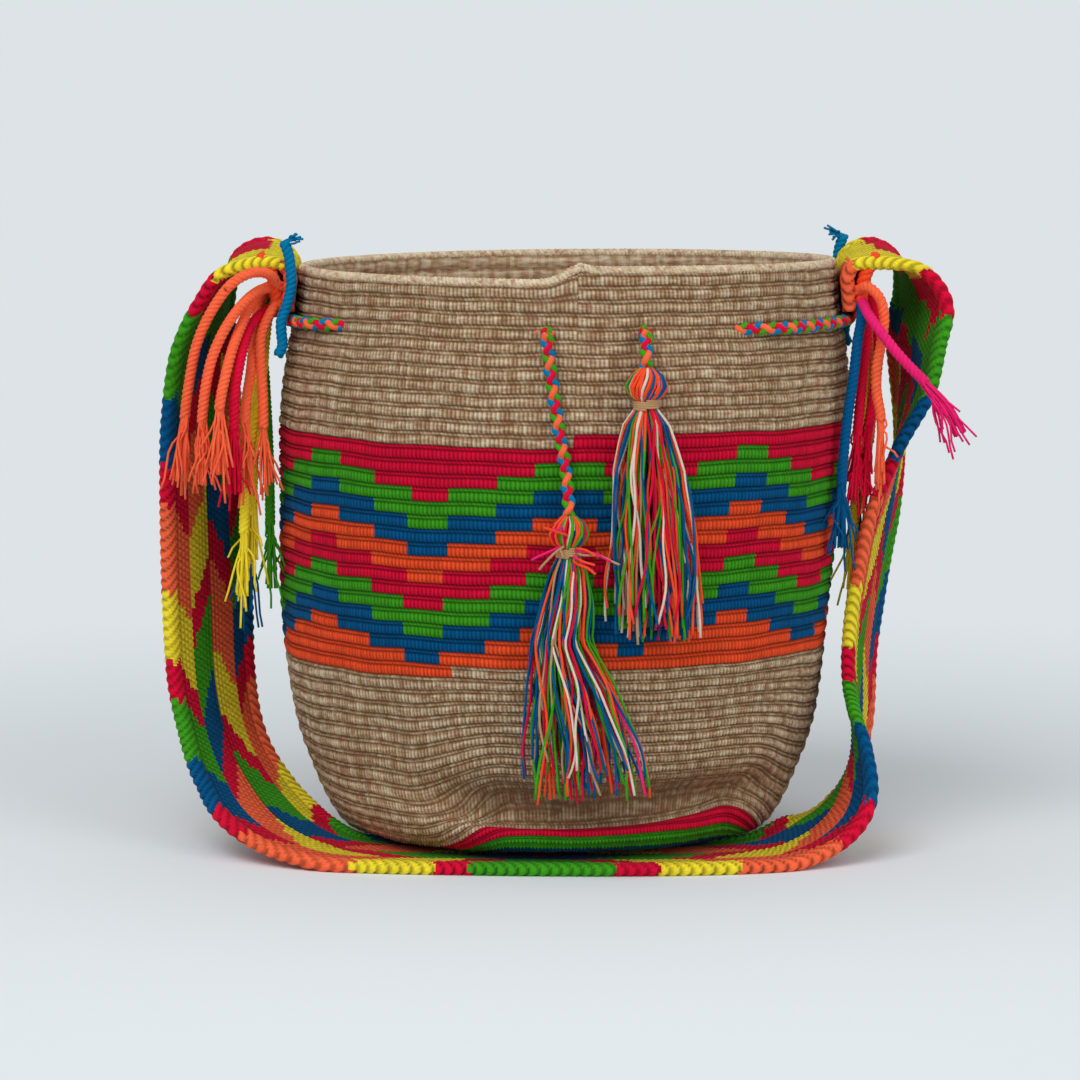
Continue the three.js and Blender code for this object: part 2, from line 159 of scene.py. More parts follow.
def grid_quads(rows, cols, wrap):
    """Quads of a grid of points and the grid place of each corner; wrap joins the last column to the first."""
    row, col = np.meshgrid(np.arange(rows - 1), np.arange(cols if wrap else cols - 1), indexing="ij")
    after = (col + 1) % cols
    quads = np.stack([row * cols + col, row * cols + after, (row + 1) * cols + after, (row + 1) * cols + col], -1)
    places = np.stack([np.stack([col, row], -1), np.stack([col + 1, row], -1),
                       np.stack([col + 1, row + 1], -1), np.stack([col, row + 1], -1)], -2)
    return quads.reshape(-1, 4), places.reshape(-1, 4, 2)


def tubes(paths, radii, sides):
    """Round tubes along paths (strand, step, xyz) with radii (strand, step): a circle carried along each.

    Returns points, quads, end triangles, a UV of millimetres round and along for each corner of each
    quad, and the strand that each quad and each triangle belongs to.
    """
    strands, steps, _ = paths.shape
    first, second = side_frames(paths)
    turn = 2 * np.pi * np.arange(sides) / sides
    ring = first[:, :, None] * np.cos(turn)[:, None] + second[:, :, None] * np.sin(turn)[:, None]
    points = paths[:, :, None] + ring * np.broadcast_to(radii, (strands, steps))[:, :, None, None]
    body = points.reshape(-1, 3)
    ends = paths[:, [0, -1]].reshape(-1, 3)
    quads, places = grid_quads(steps, sides, True)
    shift = (np.arange(strands) * steps * sides)[:, None, None]
    all_quads = (quads[None] + shift).reshape(-1, 4)
    run = np.concatenate([np.zeros((strands, 1)),
                          np.cumsum(np.linalg.norm(np.diff(paths, axis=1), axis=2), axis=1)], axis=1) / MM
    around = 2 * np.pi * np.mean(radii) / MM / sides
    uv = np.stack([np.broadcast_to(places[None, :, :, 0] * around, (strands,) + places.shape[:2]),
                   run[:, places[:, :, 1]] + 7.0 * np.arange(strands)[:, None, None]], -1)
    side = np.arange(sides)
    after = (side + 1) % sides
    base = shift[:, 0]
    low = np.stack([np.broadcast_to(len(body) + 2 * np.arange(strands)[:, None], (strands, sides)),
                    base + after, base + side], -1)
    top = base + (steps - 1) * sides
    high = np.stack([np.broadcast_to(len(body) + 2 * np.arange(strands)[:, None] + 1, (strands, sides)),
                     top + side, top + after], -1)
    tris = np.concatenate([low, high], axis=1).reshape(-1, 3)
    quad_strand = np.repeat(np.arange(strands), len(quads))
    tri_strand = np.repeat(np.arange(strands), 2 * sides)
    return np.concatenate([body, ends]), all_quads, tris, uv.reshape(-1, 4, 2), quad_strand, tri_strand


def put_mesh(name, points, quads, uv, yarn, relief=None, tris=None, tri_yarn=None):
    """Object with a mesh of quads and end triangles, each face of a yarn.

    It has a UV map in millimetres and a relief value at each point, which the yarns read to paint shade into their
    hollows.
    """
    tris = np.zeros((0, 3), int) if tris is None else tris
    tri_yarn = np.zeros(len(tris), int) if tri_yarn is None else tri_yarn
    corners = np.concatenate([quads.ravel(), tris.ravel()])
    sizes = np.concatenate([np.full(len(quads), 4), np.full(len(tris), 3)])
    yarns = np.concatenate([np.broadcast_to(yarn, len(quads)), np.broadcast_to(tri_yarn, len(tris))])
    used, slots = np.unique(yarns, return_inverse=True)
    mesh = bpy.data.meshes.new(name)
    mesh.vertices.add(len(points))
    mesh.vertices.foreach_set("co", np.asarray(points, np.float32).ravel())
    mesh.loops.add(len(corners))
    mesh.loops.foreach_set("vertex_index", corners.astype(np.int32))
    mesh.polygons.add(len(sizes))
    mesh.polygons.foreach_set("loop_start", (np.cumsum(sizes) - sizes).astype(np.int32))
    mesh.polygons.foreach_set("material_index", slots.astype(np.int32))
    mesh.polygons.foreach_set("use_smooth", np.ones(len(sizes), bool))
    flat = np.concatenate([np.asarray(uv, np.float32).reshape(-1, 2), np.zeros((tris.size, 2), np.float32)])
    mesh.uv_layers.new(name="yarn").data.foreach_set("uv", flat.ravel())
    value = np.ones(len(points)) if relief is None else np.asarray(relief)
    mesh.attributes.new("relief", "FLOAT", "POINT").data.foreach_set("value", value.astype(np.float32).ravel())
    mesh.update(calc_edges=True)
    for place in used:
        mesh.materials.append(bpy.data.materials[f"{YARNS[place]} yarn"])
    made = bpy.data.objects.new(name, mesh)
    bpy.context.scene.collection.objects.link(made)
    return made


def put_parts(name, parts, yarns):
    """Object of several sets of tubes, with the yarns of the strands of each set."""
    starts = np.cumsum([0] + [len(part[0]) for part in parts])
    return put_mesh(
        name, np.concatenate([part[0] for part in parts]),
        np.concatenate([part[1] + start for part, start in zip(parts, starts)]),
        np.concatenate([part[3] for part in parts]),
        np.concatenate([np.broadcast_to(yarn, part[4].max() + 1)[part[4]] for part, yarn in zip(parts, yarns)]),
        None,
        np.concatenate([part[2] + start for part, start in zip(parts, starts)]),
        np.concatenate([np.broadcast_to(yarn, part[5].max() + 1)[part[5]] for part, yarn in zip(parts, yarns)]))


def put_tubes(name, paths, radii, sides, yarns):
    """Object of many round strands, each of its own yarn."""
    points, quads, tris, uv, quad_strand, tri_strand = tubes(paths, radii, sides)
    yarns = np.broadcast_to(yarns, len(paths))
    return put_mesh(name, points, quads, uv, yarns[quad_strand], None, tris, yarns[tri_strand])


# Shape of the bag

def ring_points(ring, angle):
    """Point of a ring of the bag at an angle in degrees from the front.

    The ring is an ellipse whose height runs from the side's to the front's or the back's.
    """
    across = np.sin(np.radians(angle))
    along = np.cos(np.radians(angle))
    end_reach = np.where(along > 0, FRONT_REACH[ring], BACK_REACH[ring])
    end_rise = np.where(along > 0, FRONT_RISE[ring], BACK_RISE[ring])
    height = SIDE_RISE[ring] * across ** 2 + end_rise * along ** 2
    lean = RIM_SHIFT * smoothstep(height, 0.3 * RIM_HEIGHT, RIM_HEIGHT)
    return np.stack([lean + HALF_WIDTH * SIDE_REACH[ring] * across, -HALF_DEPTH * end_reach * along, height], -1)


def bag_point(angle, place):
    """Point on the bag's outside at an angle and a place from 0 at the sole's edge to 1 at the rim."""
    angle, place = np.broadcast_arrays(np.asarray(angle, float), np.asarray(place, float))
    last = len(SIDE_REACH) - 1
    at = np.clip(place * last, 0, last - 1e-9)
    first = at.astype(int)
    corners = [ring_points(np.clip(first + k, 0, last), angle) for k in (-1, 0, 1, 2)]
    corners[0] = np.where((first == 0)[..., None], 2 * corners[1] - corners[2], corners[0])
    corners[3] = np.where((first == last - 1)[..., None], 2 * corners[2] - corners[1], corners[3])
    return hermite(corners, (at - first)[..., None])


def wall_point(angle, height, out):
    """Point on the wall at an angle and a height, moved out along the ellipse's normal, in millimetres."""
    angle, height, out = np.broadcast_arrays(*(np.asarray(v, float) for v in (angle, height, out)))
    places = np.linspace(FIRST_WALL_RING / (len(SIDE_REACH) - 1), 1, 400)
    profile = bag_point(angle[..., None], places)
    at = np.clip((profile[..., 2] < height[..., None]).sum(-1), 1, len(places) - 1)
    low = np.take_along_axis(profile, (at - 1)[..., None, None], -2)[..., 0, :]
    high = np.take_along_axis(profile, at[..., None, None], -2)[..., 0, :]
    share = np.clip((height - low[..., 2]) / (high[..., 2] - low[..., 2]), 0, 1)[..., None]
    normal = unit(np.stack([np.sin(np.radians(angle)) / HALF_WIDTH, -np.cos(np.radians(angle)) / HALF_DEPTH,
                            np.zeros_like(angle)], -1))
    return low + (high - low) * share + normal * out[..., None]


def wall_table(angles):
    """Points down the wall at each angle, from the rim to the sole's edge, and the distance from the rim."""
    points = bag_point(angles[None, :], np.linspace(1, 0, 480)[:, None])
    steps = np.linalg.norm(np.diff(points, axis=0), axis=2)
    return points, np.concatenate([np.zeros((1, len(angles))), np.cumsum(steps, axis=0)])


def on_wall(table, run, distance):
    """Points at distances (row, column) down the wall's columns; above the rim they go straight on."""
    cols = run.shape[1]
    apart = 10 * run.max()
    key = (run + apart * np.arange(cols)).T.ravel()
    wanted = np.clip(distance, 0, run[-1] - 1e-6)
    after = np.searchsorted(key, (wanted + apart * np.arange(cols)).T.ravel(), side="right")
    col = np.repeat(np.arange(cols), distance.shape[0])
    after = np.clip(after - col * len(run), 1, len(run) - 1)
    flat = wanted.T.ravel()
    share = (flat - run[after - 1, col]) / (run[after, col] - run[after - 1, col])
    points = table[after - 1, col] + (table[after, col] - table[after - 1, col]) * share[:, None]
    points = points.reshape(cols, -1, 3).transpose(1, 0, 2)
    over = np.clip(-distance, 0, None)[..., None] * unit(table[0] - table[4])[None]
    return points + over


def base_distance(angle):
    """Distance down from the rim to the coloured base: short where the front lip rolls up into view."""
    turned = (angle + 180) % 360 - 180
    hidden = 1 - smoothstep(turned, -36, -11) * (1 - smoothstep(turned, 46, 78))
    return 252 + 24 * hidden


def round_distance(rounds, angle):
    """Distance down from the rim to a count of rounds: even steps, spread over the lower wall to meet the base."""
    upper = ROUND_UPPER * (BAND_START - 0.5)
    band = upper + ROUND_BAND * BAND_ROUNDS
    band_end = BAND_START + BAND_ROUNDS - 0.5
    base_start = BASE_START - 0.5
    base = base_distance(angle)
    return np.select(
        [rounds < BAND_START - 0.5, rounds < band_end, rounds < base_start],
        [ROUND_UPPER * rounds,
         upper + ROUND_BAND * (rounds - BAND_START + 0.5),
         band + (base - band) * (rounds - band_end) / (base_start - band_end)],
        base + ROUND_BASE * (rounds - base_start))


def spiral(rounds, turn):
    """Rounds down from the rim at a share of a turn: one spiral whose end climbs at the rim, closed rings on the base."""
    rise = 0.85 * np.exp(-((turn - 1) / 0.012) ** 2) * (1 - smoothstep(rounds, 0, 2))
    return rounds - rise + (turn - 0.5) * (1 - smoothstep(rounds, BASE_START - 5, BASE_START))


def round_yarn(row, angle, turn):
    """Yarn of a stitch by its round, its angle and how far its round has gone.

    Down from the rim: natural, the zigzag band, natural, and rings on the base.
    """
    steps_front = np.array(STEP_EDGES)
    behind = np.linspace(STEP_EDGES[-1], STEP_EDGES[0] + 360, STEPS_BEHIND + 1)[1:-1]
    edges = np.concatenate([steps_front, behind])
    band_row = row - BAND_START
    leaned = angle + STEP_LEAN * band_row / BAND_ROUNDS
    place = (leaned - STEP_EDGES[0]) % 360 + STEP_EDGES[0]
    step = np.searchsorted(edges, place, side="right") - 1
    level = STEP_LEVELS[step % len(STEP_LEVELS)]
    block = np.clip((band_row - level + 1) // 2, 0, len(BAND_YARNS) - 1)
    ends = (BAND_END_ANGLE - SEAM) / 360 + 1
    in_band = (band_row >= 0) & ((band_row < BAND_ROUNDS - 1) | ((band_row == BAND_ROUNDS - 1) & (turn < ends)))
    ring = np.array([YARN[n] for n in ("crimson", "green", "blue", "orange", "natural")])
    base = ring[np.clip((row - BASE_START) // 2, 0, len(ring) - 1)]
    return np.select([in_band, row >= BASE_START], [BAND_YARNS[block], base], YARN["natural"])


def ring_yarns(rows):
    """Yarns of the rings on the sole and the floor of the bag, in bands of four rows."""
    rings = np.array([YARN[n] for n in ("natural", "orange", "crimson", "green", "blue")])
    return rings[(np.arange(rows) // 4) % len(rings)]


def sway(angle, rounds):
    """Slow unevenness of hand work, from -1 to 1: a few waves round and down the bag."""
    a = np.radians(angle)
    return (np.sin(3 * a + 0.21 * rounds + 0.4) + np.sin(7 * a - 0.33 * rounds + 1.7)
            + 0.7 * np.sin(13 * a + 0.5 * rounds + 2.9)) / 2.7


def front_fold(angle, height):
    """Fold above the front lip, from 0 to 1: a bell over the height, faded out at both ends of the lip."""
    turned = (angle + 180) % 360 - 180
    reach = smoothstep(turned, -42, -8) * (1 - smoothstep(turned, 40, 72))
    return reach * np.exp(-((height - 31) / 9) ** 2)


def dents(angle, height):
    """Pull of the drawstring at the front eyelets and the fold above the front lip, in millimetres inwards."""
    turned = (angle + 180) % 360 - 180
    pull = sum(depth * np.exp(-((turned - at) / 7) ** 2 - ((height - 252) / 13) ** 2)
               for at, depth in ((-4.5, 1.6), (15, 2.0), (39, 1.6), (-57, 1.8)))
    dip = 2.6 * np.exp(-((turned + 38) / 16) ** 2 - ((height - 66) / 22) ** 2)
    return pull + FOLD_DEPTH * front_fold(angle, height) + dip


# Height of one round from its top to its bottom: a thin chain, then the upright stitches.
ROUND_PLACES = np.array([0.0, 0.13, 0.27, 0.42, 0.64, 0.86])
ROUND_HEIGHTS = np.array([0.0, 0.8, 0.16, 0.9, 1.0, 0.84])


def stitched_wall(first, last, stitches, per_stitch, relief_height, seed):
    """Crochet between two rounds: the bag's wall raised by a chain and a row of upright stitches in each round.

    The rows wind as a spiral, so each point lies (round + turn) rounds down from the rim. Returns
    points in metres, relief from 0 to 1, the angle and round of each row and column.
    """
    cols = stitches * per_stitch + 1
    turn = np.linspace(0, 1, cols)
    angles = SEAM + 360 * turn
    table, run = wall_table(angles)
    rounds = (np.arange(first, last)[:, None] + ROUND_PLACES[None]).ravel()
    rounds = np.append(rounds, last)
    height = np.append(np.tile(ROUND_HEIGHTS, last - first), 0)
    is_chain = np.append(np.tile(np.arange(6) == 1, last - first), False)
    level = spiral(rounds[:, None], turn[None])
    distance = round_distance(level + 0.10 * sway(angles[None] * 1.7, level), angles[None])
    base = on_wall(table, run, distance)
    outward = unit(np.cross(np.gradient(base, axis=0), np.gradient(base, axis=1)))
    rng = np.random.default_rng(seed)
    each = rng.uniform(0.75, 1.1, (last - first + 1, stitches + 1))
    stitch = np.arange(cols) / per_stitch
    row_of = np.clip(rounds.astype(int) - first, 0, last - first)
    uneven = each[row_of][:, np.clip(stitch.astype(int), 0, stitches)]
    tick = 0.5 - 0.5 * np.cos(2 * np.pi * (stitch[None] + 0.5 * is_chain[:, None]))
    notch = np.where(is_chain, 0.45, 0.66)[:, None]
    relief = height[:, None] * uneven * (1 - notch * (1 - tick))
    lift = (relief - 0.45) * relief_height + 0.8 * sway(angles[None], level) - dents(angles[None], base[..., 2])
    points = base + outward * lift[..., None]
    points[..., 2] = np.maximum(points[..., 2], FLOOR_GAP)
    # Painted shade: the relief, read from here on only by the yarns' colour, is lowered in a band just above the front
    # fold, so the yarn there shows darker and browner.
    relief *= 1 - FOLD_SHADE * front_fold(angles[None], base[..., 2] - 6)
    return points * MM, relief, angles, rounds, turn


def put_wall(name, first, last, sizes, seed):
    """Object of a stretch of the crocheted wall."""
    points, relief, angles, rounds, turn = stitched_wall(
        first, last, sizes.stitches, sizes.samples, sizes.relief / MM, seed)
    rows, cols = relief.shape
    quads, places = grid_quads(rows, cols, False)
    col = np.arange(cols - 1)
    row = np.floor(rounds[:-1] + 1e-6).astype(int)
    middle = (angles[col] + angles[col + 1]) / 2
    stitch_start = angles[0] + 360 * np.floor(col / sizes.samples + 1e-6) / sizes.stitches
    yarn = round_yarn(row[:, None], np.broadcast_to(stitch_start[None], (len(row), len(col))),
                      (middle[None] - SEAM) / 360)
    run = 2.0 * np.arange(cols) / sizes.samples
    uv = np.stack([run[places[..., 0]], ROUND_UPPER * rounds[places[..., 1]]], -1)
    return put_mesh(name, points.reshape(-1, 3), quads, uv, yarn.ravel(), relief.ravel())


# Twisted and braided cords

def twist(path, diameter, plies, pitch):
    """Centre lines of the plies of a twisted cord: helices round the path, and their radius."""
    first, second = side_frames(path[None])
    run = lengths(path)
    turn = 2 * np.pi * (run[None] / pitch + np.arange(plies)[:, None] / plies)
    around = np.cos(turn)[..., None] * first + np.sin(turn)[..., None] * second
    return path[None] + 0.27 * diameter * around, 0.275 * diameter


def braid(path, diameter, pitch):
    """Centre lines of a round braid of four: two helices each way that pass over and under by turns."""
    first, second = side_frames(path[None])
    run = lengths(path)
    way = np.array([1, 1, -1, -1])[:, None]
    turn = 2 * np.pi * way * run[None] / pitch + np.array([0, np.pi, 0, np.pi])[:, None]
    over = 0.07 * diameter * way * np.cos(4 * np.pi * run[None] / pitch)
    reach = 0.245 * diameter + over
    lines = path[None] + reach[..., None] * (np.cos(turn)[..., None] * first + np.sin(turn)[..., None] * second)
    return lines, 0.245 * diameter


def frayed(start, heading, count, length, spread, rng):
    """Loose strands from a cord's end: they leave along it, open out and droop."""
    step = np.linspace(0, 1, 9)
    aside = unit(rng.normal(size=(count, 3)))
    reach = length * rng.uniform(0.55, 1.05, count)
    open_out = spread * rng.uniform(0.2, 1.0, count)
    curl = unit(rng.normal(size=(count, 3))) * (0.10 * length * rng.uniform(0, 1, count))[:, None]
    line = (start + rng.normal(scale=0.5 * MM, size=(count, 1, 3))
            + heading * (reach[:, None] * step)[..., None]
            + aside[:, None] * (open_out[:, None] * step ** 1.6)[..., None]
            + curl[:, None] * np.sin(2.6 * np.pi * step)[None, :, None])
    line[..., 2] -= 0.18 * reach[:, None] * step ** 2
    return line


def beside_strap_end(side, route):
    """Points beside one strap end, from distances out from its face, along Y and above the tails' height."""
    route = np.asarray(route, float)
    face = wall_point(side * 90, TAIL_HEIGHT, STRAP_THICK + 2 * SEAT_GAP)[0]
    return np.stack([face + side * route[:, 0], route[:, 1], TAIL_HEIGHT + route[:, 2]], -1)


TAIL_HEIGHT = RIM_HEIGHT - 15
TAIL_STUB = 2.0
DRAWSTRING_HEIGHT = RIM_HEIGHT - 24.5
LEFT_TAILS = [
    ("orange", [[0, -27.5, 7], [6, -37, 13], [14, -45, 14], [23, -48, 9], [32, -49, -3],
                [39, -49, -18], [43, -48, -36], [46, -47, -58], [48, -46, -84]]),
    ("orange", [[0, -20.5, 4], [7, -28, 6], [13, -39, 4], [20, -48, -3], [27, -54, -14],
                [32, -56, -26], [35, -56, -40], [37, -55, -58], [38, -54, -85]]),
    ("orange", [[0, -14.5, 6], [8, -20, 6], [14, -31, 0], [18, -43, -9], [22, -53, -20],
                [25, -59, -32], [28, -62, -48], [29, -62, -79]]),
    ("crimson", [[0, -20.5, -3], [8, -24, -5], [14, -34, -10], [17, -45, -18],
                 [19, -53, -28], [21, -56, -40], [22, -55, -62], [22, -53, -89]]),
    ("orange", [[0, -9, 4], [9, -12, 3], [13, -20, -8], [14, -29, -20], [15, -38, -34],
                [17, -45, -50], [17, -47, -87]]),
    ("yellow", [[0, -13, -2.5], [7, -15, -6], [9, -20, -18], [10, -27, -34], [13, -35, -52],
                [17, -40, -82], [20, -41, -139]]),
    ("yellow", [[0, -5, -2.5], [8, -6, -6], [12, -11, -20], [13, -19, -40], [14, -27, -64],
                [15, -31, -90], [16, -33, -123]]),
    ("orange", [[0, -27, -2], [6, -31, -6], [10, -34, -16], [10, -37, -30], [9, -42, -46], [9, -45, -86]]),
    ("green", [[0, 3, 3], [9, 1, 1], [12, -3, -14], [10, -10, -40], [8, -18, -75], [7, -24, -138]]),
    ("blue", [[0, 10, 0], [10, 10, -4], [15, 7, -20], [17, 2, -50], [17, -6, -86], [20, -14, -150]]),
]
RIGHT_TAILS = [
    ("orange", [[0, -27.5, 5], [6, -36, 7], [11, -41, 2], [13, -42, -6], [12, -42, -18],
                [10, -41, -30], [10, -40, -42], [12, -40, -54], [13, -40, -86]]),
    ("pink", [[0, -20.5, 2], [4, -30, -1], [6, -41, -6], [10, -49, -12], [16, -51, -20],
              [24, -52, -29], [32, -52, -37], [42, -52, -48], [49, -52, -61]]),
    ("crimson", [[0, -14.5, -2.5], [6, -18, -6], [6, -26, -18], [4, -33, -34], [2, -35, -56], [-1, -35, -94]]),
    ("crimson", [[0, -9, 4], [7, -12, 4], [11, -18, -5], [12, -25, -22], [10, -29, -42],
                 [7, -31, -60], [4, -29, -89]]),
    ("blue", [[0, -27.5, -3], [3, -33, -9], [1, -39, -18], [-1, -42, -34], [-4, -43, -56],
              [-6, -43, -79], [-7, -42, -116]]),
    ("orange", [[0, -3.5, -2.5], [8, -5, -7], [11, -10, -22], [10, -16, -45], [8, -20, -70], [4, -21, -98]]),
    ("yellow", [[0, 3, 3], [8, 2, 1], [11, -2, -14], [9, -6, -45], [4, -9, -85], [0, -11, -140]]),
    ("green", [[0, 9.5, -2], [9, 9, -6], [12, 6, -24], [9, 3, -60], [5, 1, -95], [2, 0, -122]]),
]
LASHING = [[-1, 0.2, 28], [-3, 0, 22], [-4, 0, 14], [-4, 0, 6], [-2, 1, -2], [0.5, 2, -9],
           [0.5, 2.5, -15], [0, 3.5, -21], [2, 4.5, -25]]
STRAP_WIDTH = 60.0
LASHING_CORD = 4.0
LASHING_FULL = 5.0


def tail_path(side, route):
    """Route of one tail in metres: square out of the strap end, then through its points."""
    above = route[0][2]
    start = wall_point(side * 90, TAIL_HEIGHT + above, STRAP_THICK + 4 * SEAT_GAP)
    start[1] = route[0][1]
    stub = start + [side * TAIL_STUB, 0, 0]
    return np.vstack([start, stub, beside_strap_end(side, route[1:])]) * MM


# Drawstring eyelets in degrees; between them the cord runs inside and outside the wall by turns.
EYELETS = [-4.5, -57, -125, -165, -195, -235, -321, -345]
EYELET_BEND = 7
RUN_STEP = 9
DRAWSTRING = 6.0
EYELET_SLACK = 0.8


def drawstring_route():
    """Route of the drawstring round the mouth, in metres, from the left front eyelet to the right one."""
    run_out = DRAWSTRING / 2 + EYELET_SLACK + SEAT_GAP / 2
    angle, out = [EYELETS[0]], [SEAT_GAP]
    for place, (near, far) in enumerate(zip(EYELETS, EYELETS[1:])):
        start, end = near - EYELET_BEND, far + EYELET_BEND
        count = max(1, round((start - end) / RUN_STEP))
        angle += [near, *np.linspace(start, end, count + 1)]
        out += [-WALL / 2] + [-WALL - run_out if place % 2 == 0 else run_out] * (count + 1)
    angle += [EYELETS[-1], EYELETS[-1]]
    out += [-WALL / 2, SEAT_GAP]
    return wall_point(angle, DRAWSTRING_HEIGHT, out) * MM


# Hanging ends of the drawstring and their tassels: heights are above the neck, then the drift of the
# middle to the right, the half width and the half depth of each ring.
HEAD = [[16.5, 0, 3, 3], [13, 0, 7.6, 6.4], [8.5, 0, 10, 8], [4.5, 0, 8, 6.6], [2.0, 0, 4.4, 4.4], [-1, 0, 4.2, 4.2]]
HANGS = {
    "left": {
        "cord": [[-4.342, -110.631, 252.5], [-2.044, -111.643, 232.2], [0.892, -113.126, 211.9],
                 [4.329, -113.707, 191.6], [5.895, -118.786, 174.8], [5.895, -118.786, 171.3]],
        "neck": [5.895, -118.786, 153.5],
        "skirt": [[-1, 0, 4.2, 4.2], [-9, 0, 8, 6], [-23, -1, 11, 8], [-41, -3.5, 13, 9], [-63, 2, 20, 10],
                  [-90, 7, 26, 11], [-112, 9.5, 29, 11]],
    },
    "right": {
        "cord": [[41.055, -107.239, 252.5], [40.967, -114.591, 241.8], [40.967, -114.591, 238.3]],
        "neck": [40.967, -114.591, 220.5],
        "skirt": [[-1, 0, 4.2, 4.2], [-9, 0.5, 10, 6.5], [-30, 1, 16, 8.5], [-70, 3, 19.5, 9.5], [-107, 4.5, 21, 10]],
    },
}


def ring_path(rings, height, turn, share):
    """Line down a tassel through its rings, at an angle round it and a share of its half width and depth."""
    rings = np.asarray(rings, float)[::-1]
    drift, wide, deep = (np.interp(height, rings[:, 0], rings[:, k]) for k in (1, 2, 3))
    return np.stack([drift + wide * share * np.sin(turn), -deep * share * np.cos(turn), height], -1)


# Strap stations

ARCH = [[7, 3, 3], [19, 6, 7], [33, 0, 8], [41, -16, 5]]
ARCH_TURNS = {-1: (0, 2, 6, 12), 1: (0, -6, -14, -20)}
LEFT_RUN = [[32, 0, 0.85, 24, 0], [33.5, 0, 0.72, 32, 0], [32.5, 0, 0.54, 36, 0], [31.5, 0, 0.415, 37, 0],
            [29.5, -2, 0.27, 35, 0], [23.5, -8, 0.175, 30, 4], [11, -24, 0.1, 20, 12], [-6, -46, 0.048, 14, 10]]
RIGHT_RUN = [[37, 0, 0.87, -19, 0], [35.5, 0, 0.79, -12, 0], [29.5, 0, 0.69, 6, 0], [20, 0, 0.54, 18, 0],
             [14, -1, 0.415, 18, 0], [11, -4, 0.325, 16, 0], [10, -13, 0.215, 12, 2], [5, -30, 0.13, 4, 8],
             [-7, -48, 0.06, -8, 9]]
FLOOR_RUN = [[-0.78, -0.56, 2, 11, 3], [-0.58, -0.61, 0, 6, 0], [-0.28, -0.645, 0, 3, 0], [0, -0.665, 0, 0, 0],
             [0.28, -0.665, 0, -2, 0], [0.58, -0.63, 0, -8, 0], [0.78, -0.56, 2, -14, 3]]
STRAP_ENDS = (RIM_HEIGHT - 20, RIM_HEIGHT - 10, RIM_HEIGHT - 4)


def strap_side(side, run):
    """Stations of one hanging side: on the wall, over the rim and down, as place, turn and tilt."""
    seat = 2 * SEAT_GAP + STRAP_THICK / 2
    ends = [wall_point(side * 90, height, seat).tolist() + [0, 0] for height in STRAP_ENDS]
    rim = wall_point(side * 90, RIM_HEIGHT, 0)[0]
    arch = [[rim + side * out, 0, RIM_HEIGHT + above, turn, tilt]
            for (out, above, tilt), turn in zip(ARCH, ARCH_TURNS[side])]
    down = [[side * (HALF_WIDTH + out), y, share * RIM_HEIGHT, turn, tilt] for out, y, share, turn, tilt in run]
    return ends + arch + down


def strap_frames(count):
    """Places along the strap, its directions across and up, and the distance from its start, in millimetres."""
    rest = STRAP_THICK / 2 + SEAT_GAP
    floor = [[x * HALF_WIDTH, y * HALF_DEPTH, rest + lift, turn, tilt] for x, y, lift, turn, tilt in FLOOR_RUN]
    stations = np.array(strap_side(-1, LEFT_RUN) + floor + strap_side(1, RIGHT_RUN)[::-1])
    turn, tilt = np.radians(stations[:, 3]), np.radians(stations[:, 4])
    lie = np.stack([np.sin(turn) * np.cos(tilt), np.cos(turn) * np.cos(tilt), np.sin(tilt)], -1)
    fine = np.linspace(0, 1, 2400)
    line, across = catmull(stations[:, :3], fine), catmull(lie, fine)
    run = lengths(line)
    want = np.linspace(0, run[-1], count)
    line = np.stack([np.interp(want, run, line[:, k]) for k in range(3)], -1)
    across = np.stack([np.interp(want, run, across[:, k]) for k in range(3)], -1)
    along = unit(np.gradient(line, axis=0))
    across = unit(across - along * (across * along).sum(-1, keepdims=True))
    return line, across, np.cross(along, across), want


# Blocks of the strap's colours along its edge, and the shift and slant of each of its four lanes.
STRAP_BLOCKS = [("yellow", 34), ("crimson", 19), ("green", 36), ("blue", 32), ("crimson", 19), ("coral", 43)]
STRAP_FIRST = 23
PLAIT_PITCH = 4.8
PLAIT_SLANT = 5.2
STRAP_LANES = np.array([[0, -23], [19, 27], [-33, -25], [70, 25]], float)
ARCH_SHIFTS = np.array([0.0, 0.0, 22.0, 24.0])


def strap_yarn(distance, total, across):
    """Yarn of the strap by the distance from its nearer end and the place across.

    Diagonal blocks in four lanes, which slant each way by turns.
    """
    lane_place = np.clip((across + STRAP_WIDTH / 2) / (STRAP_WIDTH / 4), 0, 3.999)
    lane = lane_place.astype(int)
    shift = STRAP_LANES[lane, 0] + STRAP_LANES[lane, 1] * (lane_place - lane)
    near = np.minimum(distance, total - distance)
    by_arch = 1 - smoothstep(near, 62, 112)
    shift = shift + (ARCH_SHIFTS[lane] - shift) * by_arch
    ends = np.cumsum([length for _, length in STRAP_BLOCKS])
    place = (near + shift - STRAP_FIRST) % ends[-1]
    yarns = np.array([YARN[name] for name, _ in STRAP_BLOCKS])
    return yarns[np.searchsorted(ends, place, side="right")]


# Materials

STITCH_CELL = (2.0, ROUND_UPPER, 1.0)


def link(tree, out, into):
    """Joins an output to an input."""
    tree.links.new(out, into)


def add_node(tree, kind, inputs=(), **settings):
    """New node with its settings and the values or links of its inputs."""
    made = tree.nodes.new(kind)
    for name, value in settings.items():
        setattr(made, name, value)
    for name, value in dict(inputs).items():
        if isinstance(value, bpy.types.NodeSocket):
            link(tree, value, made.inputs[name])
        else:
            made.inputs[name].default_value = value
    return made


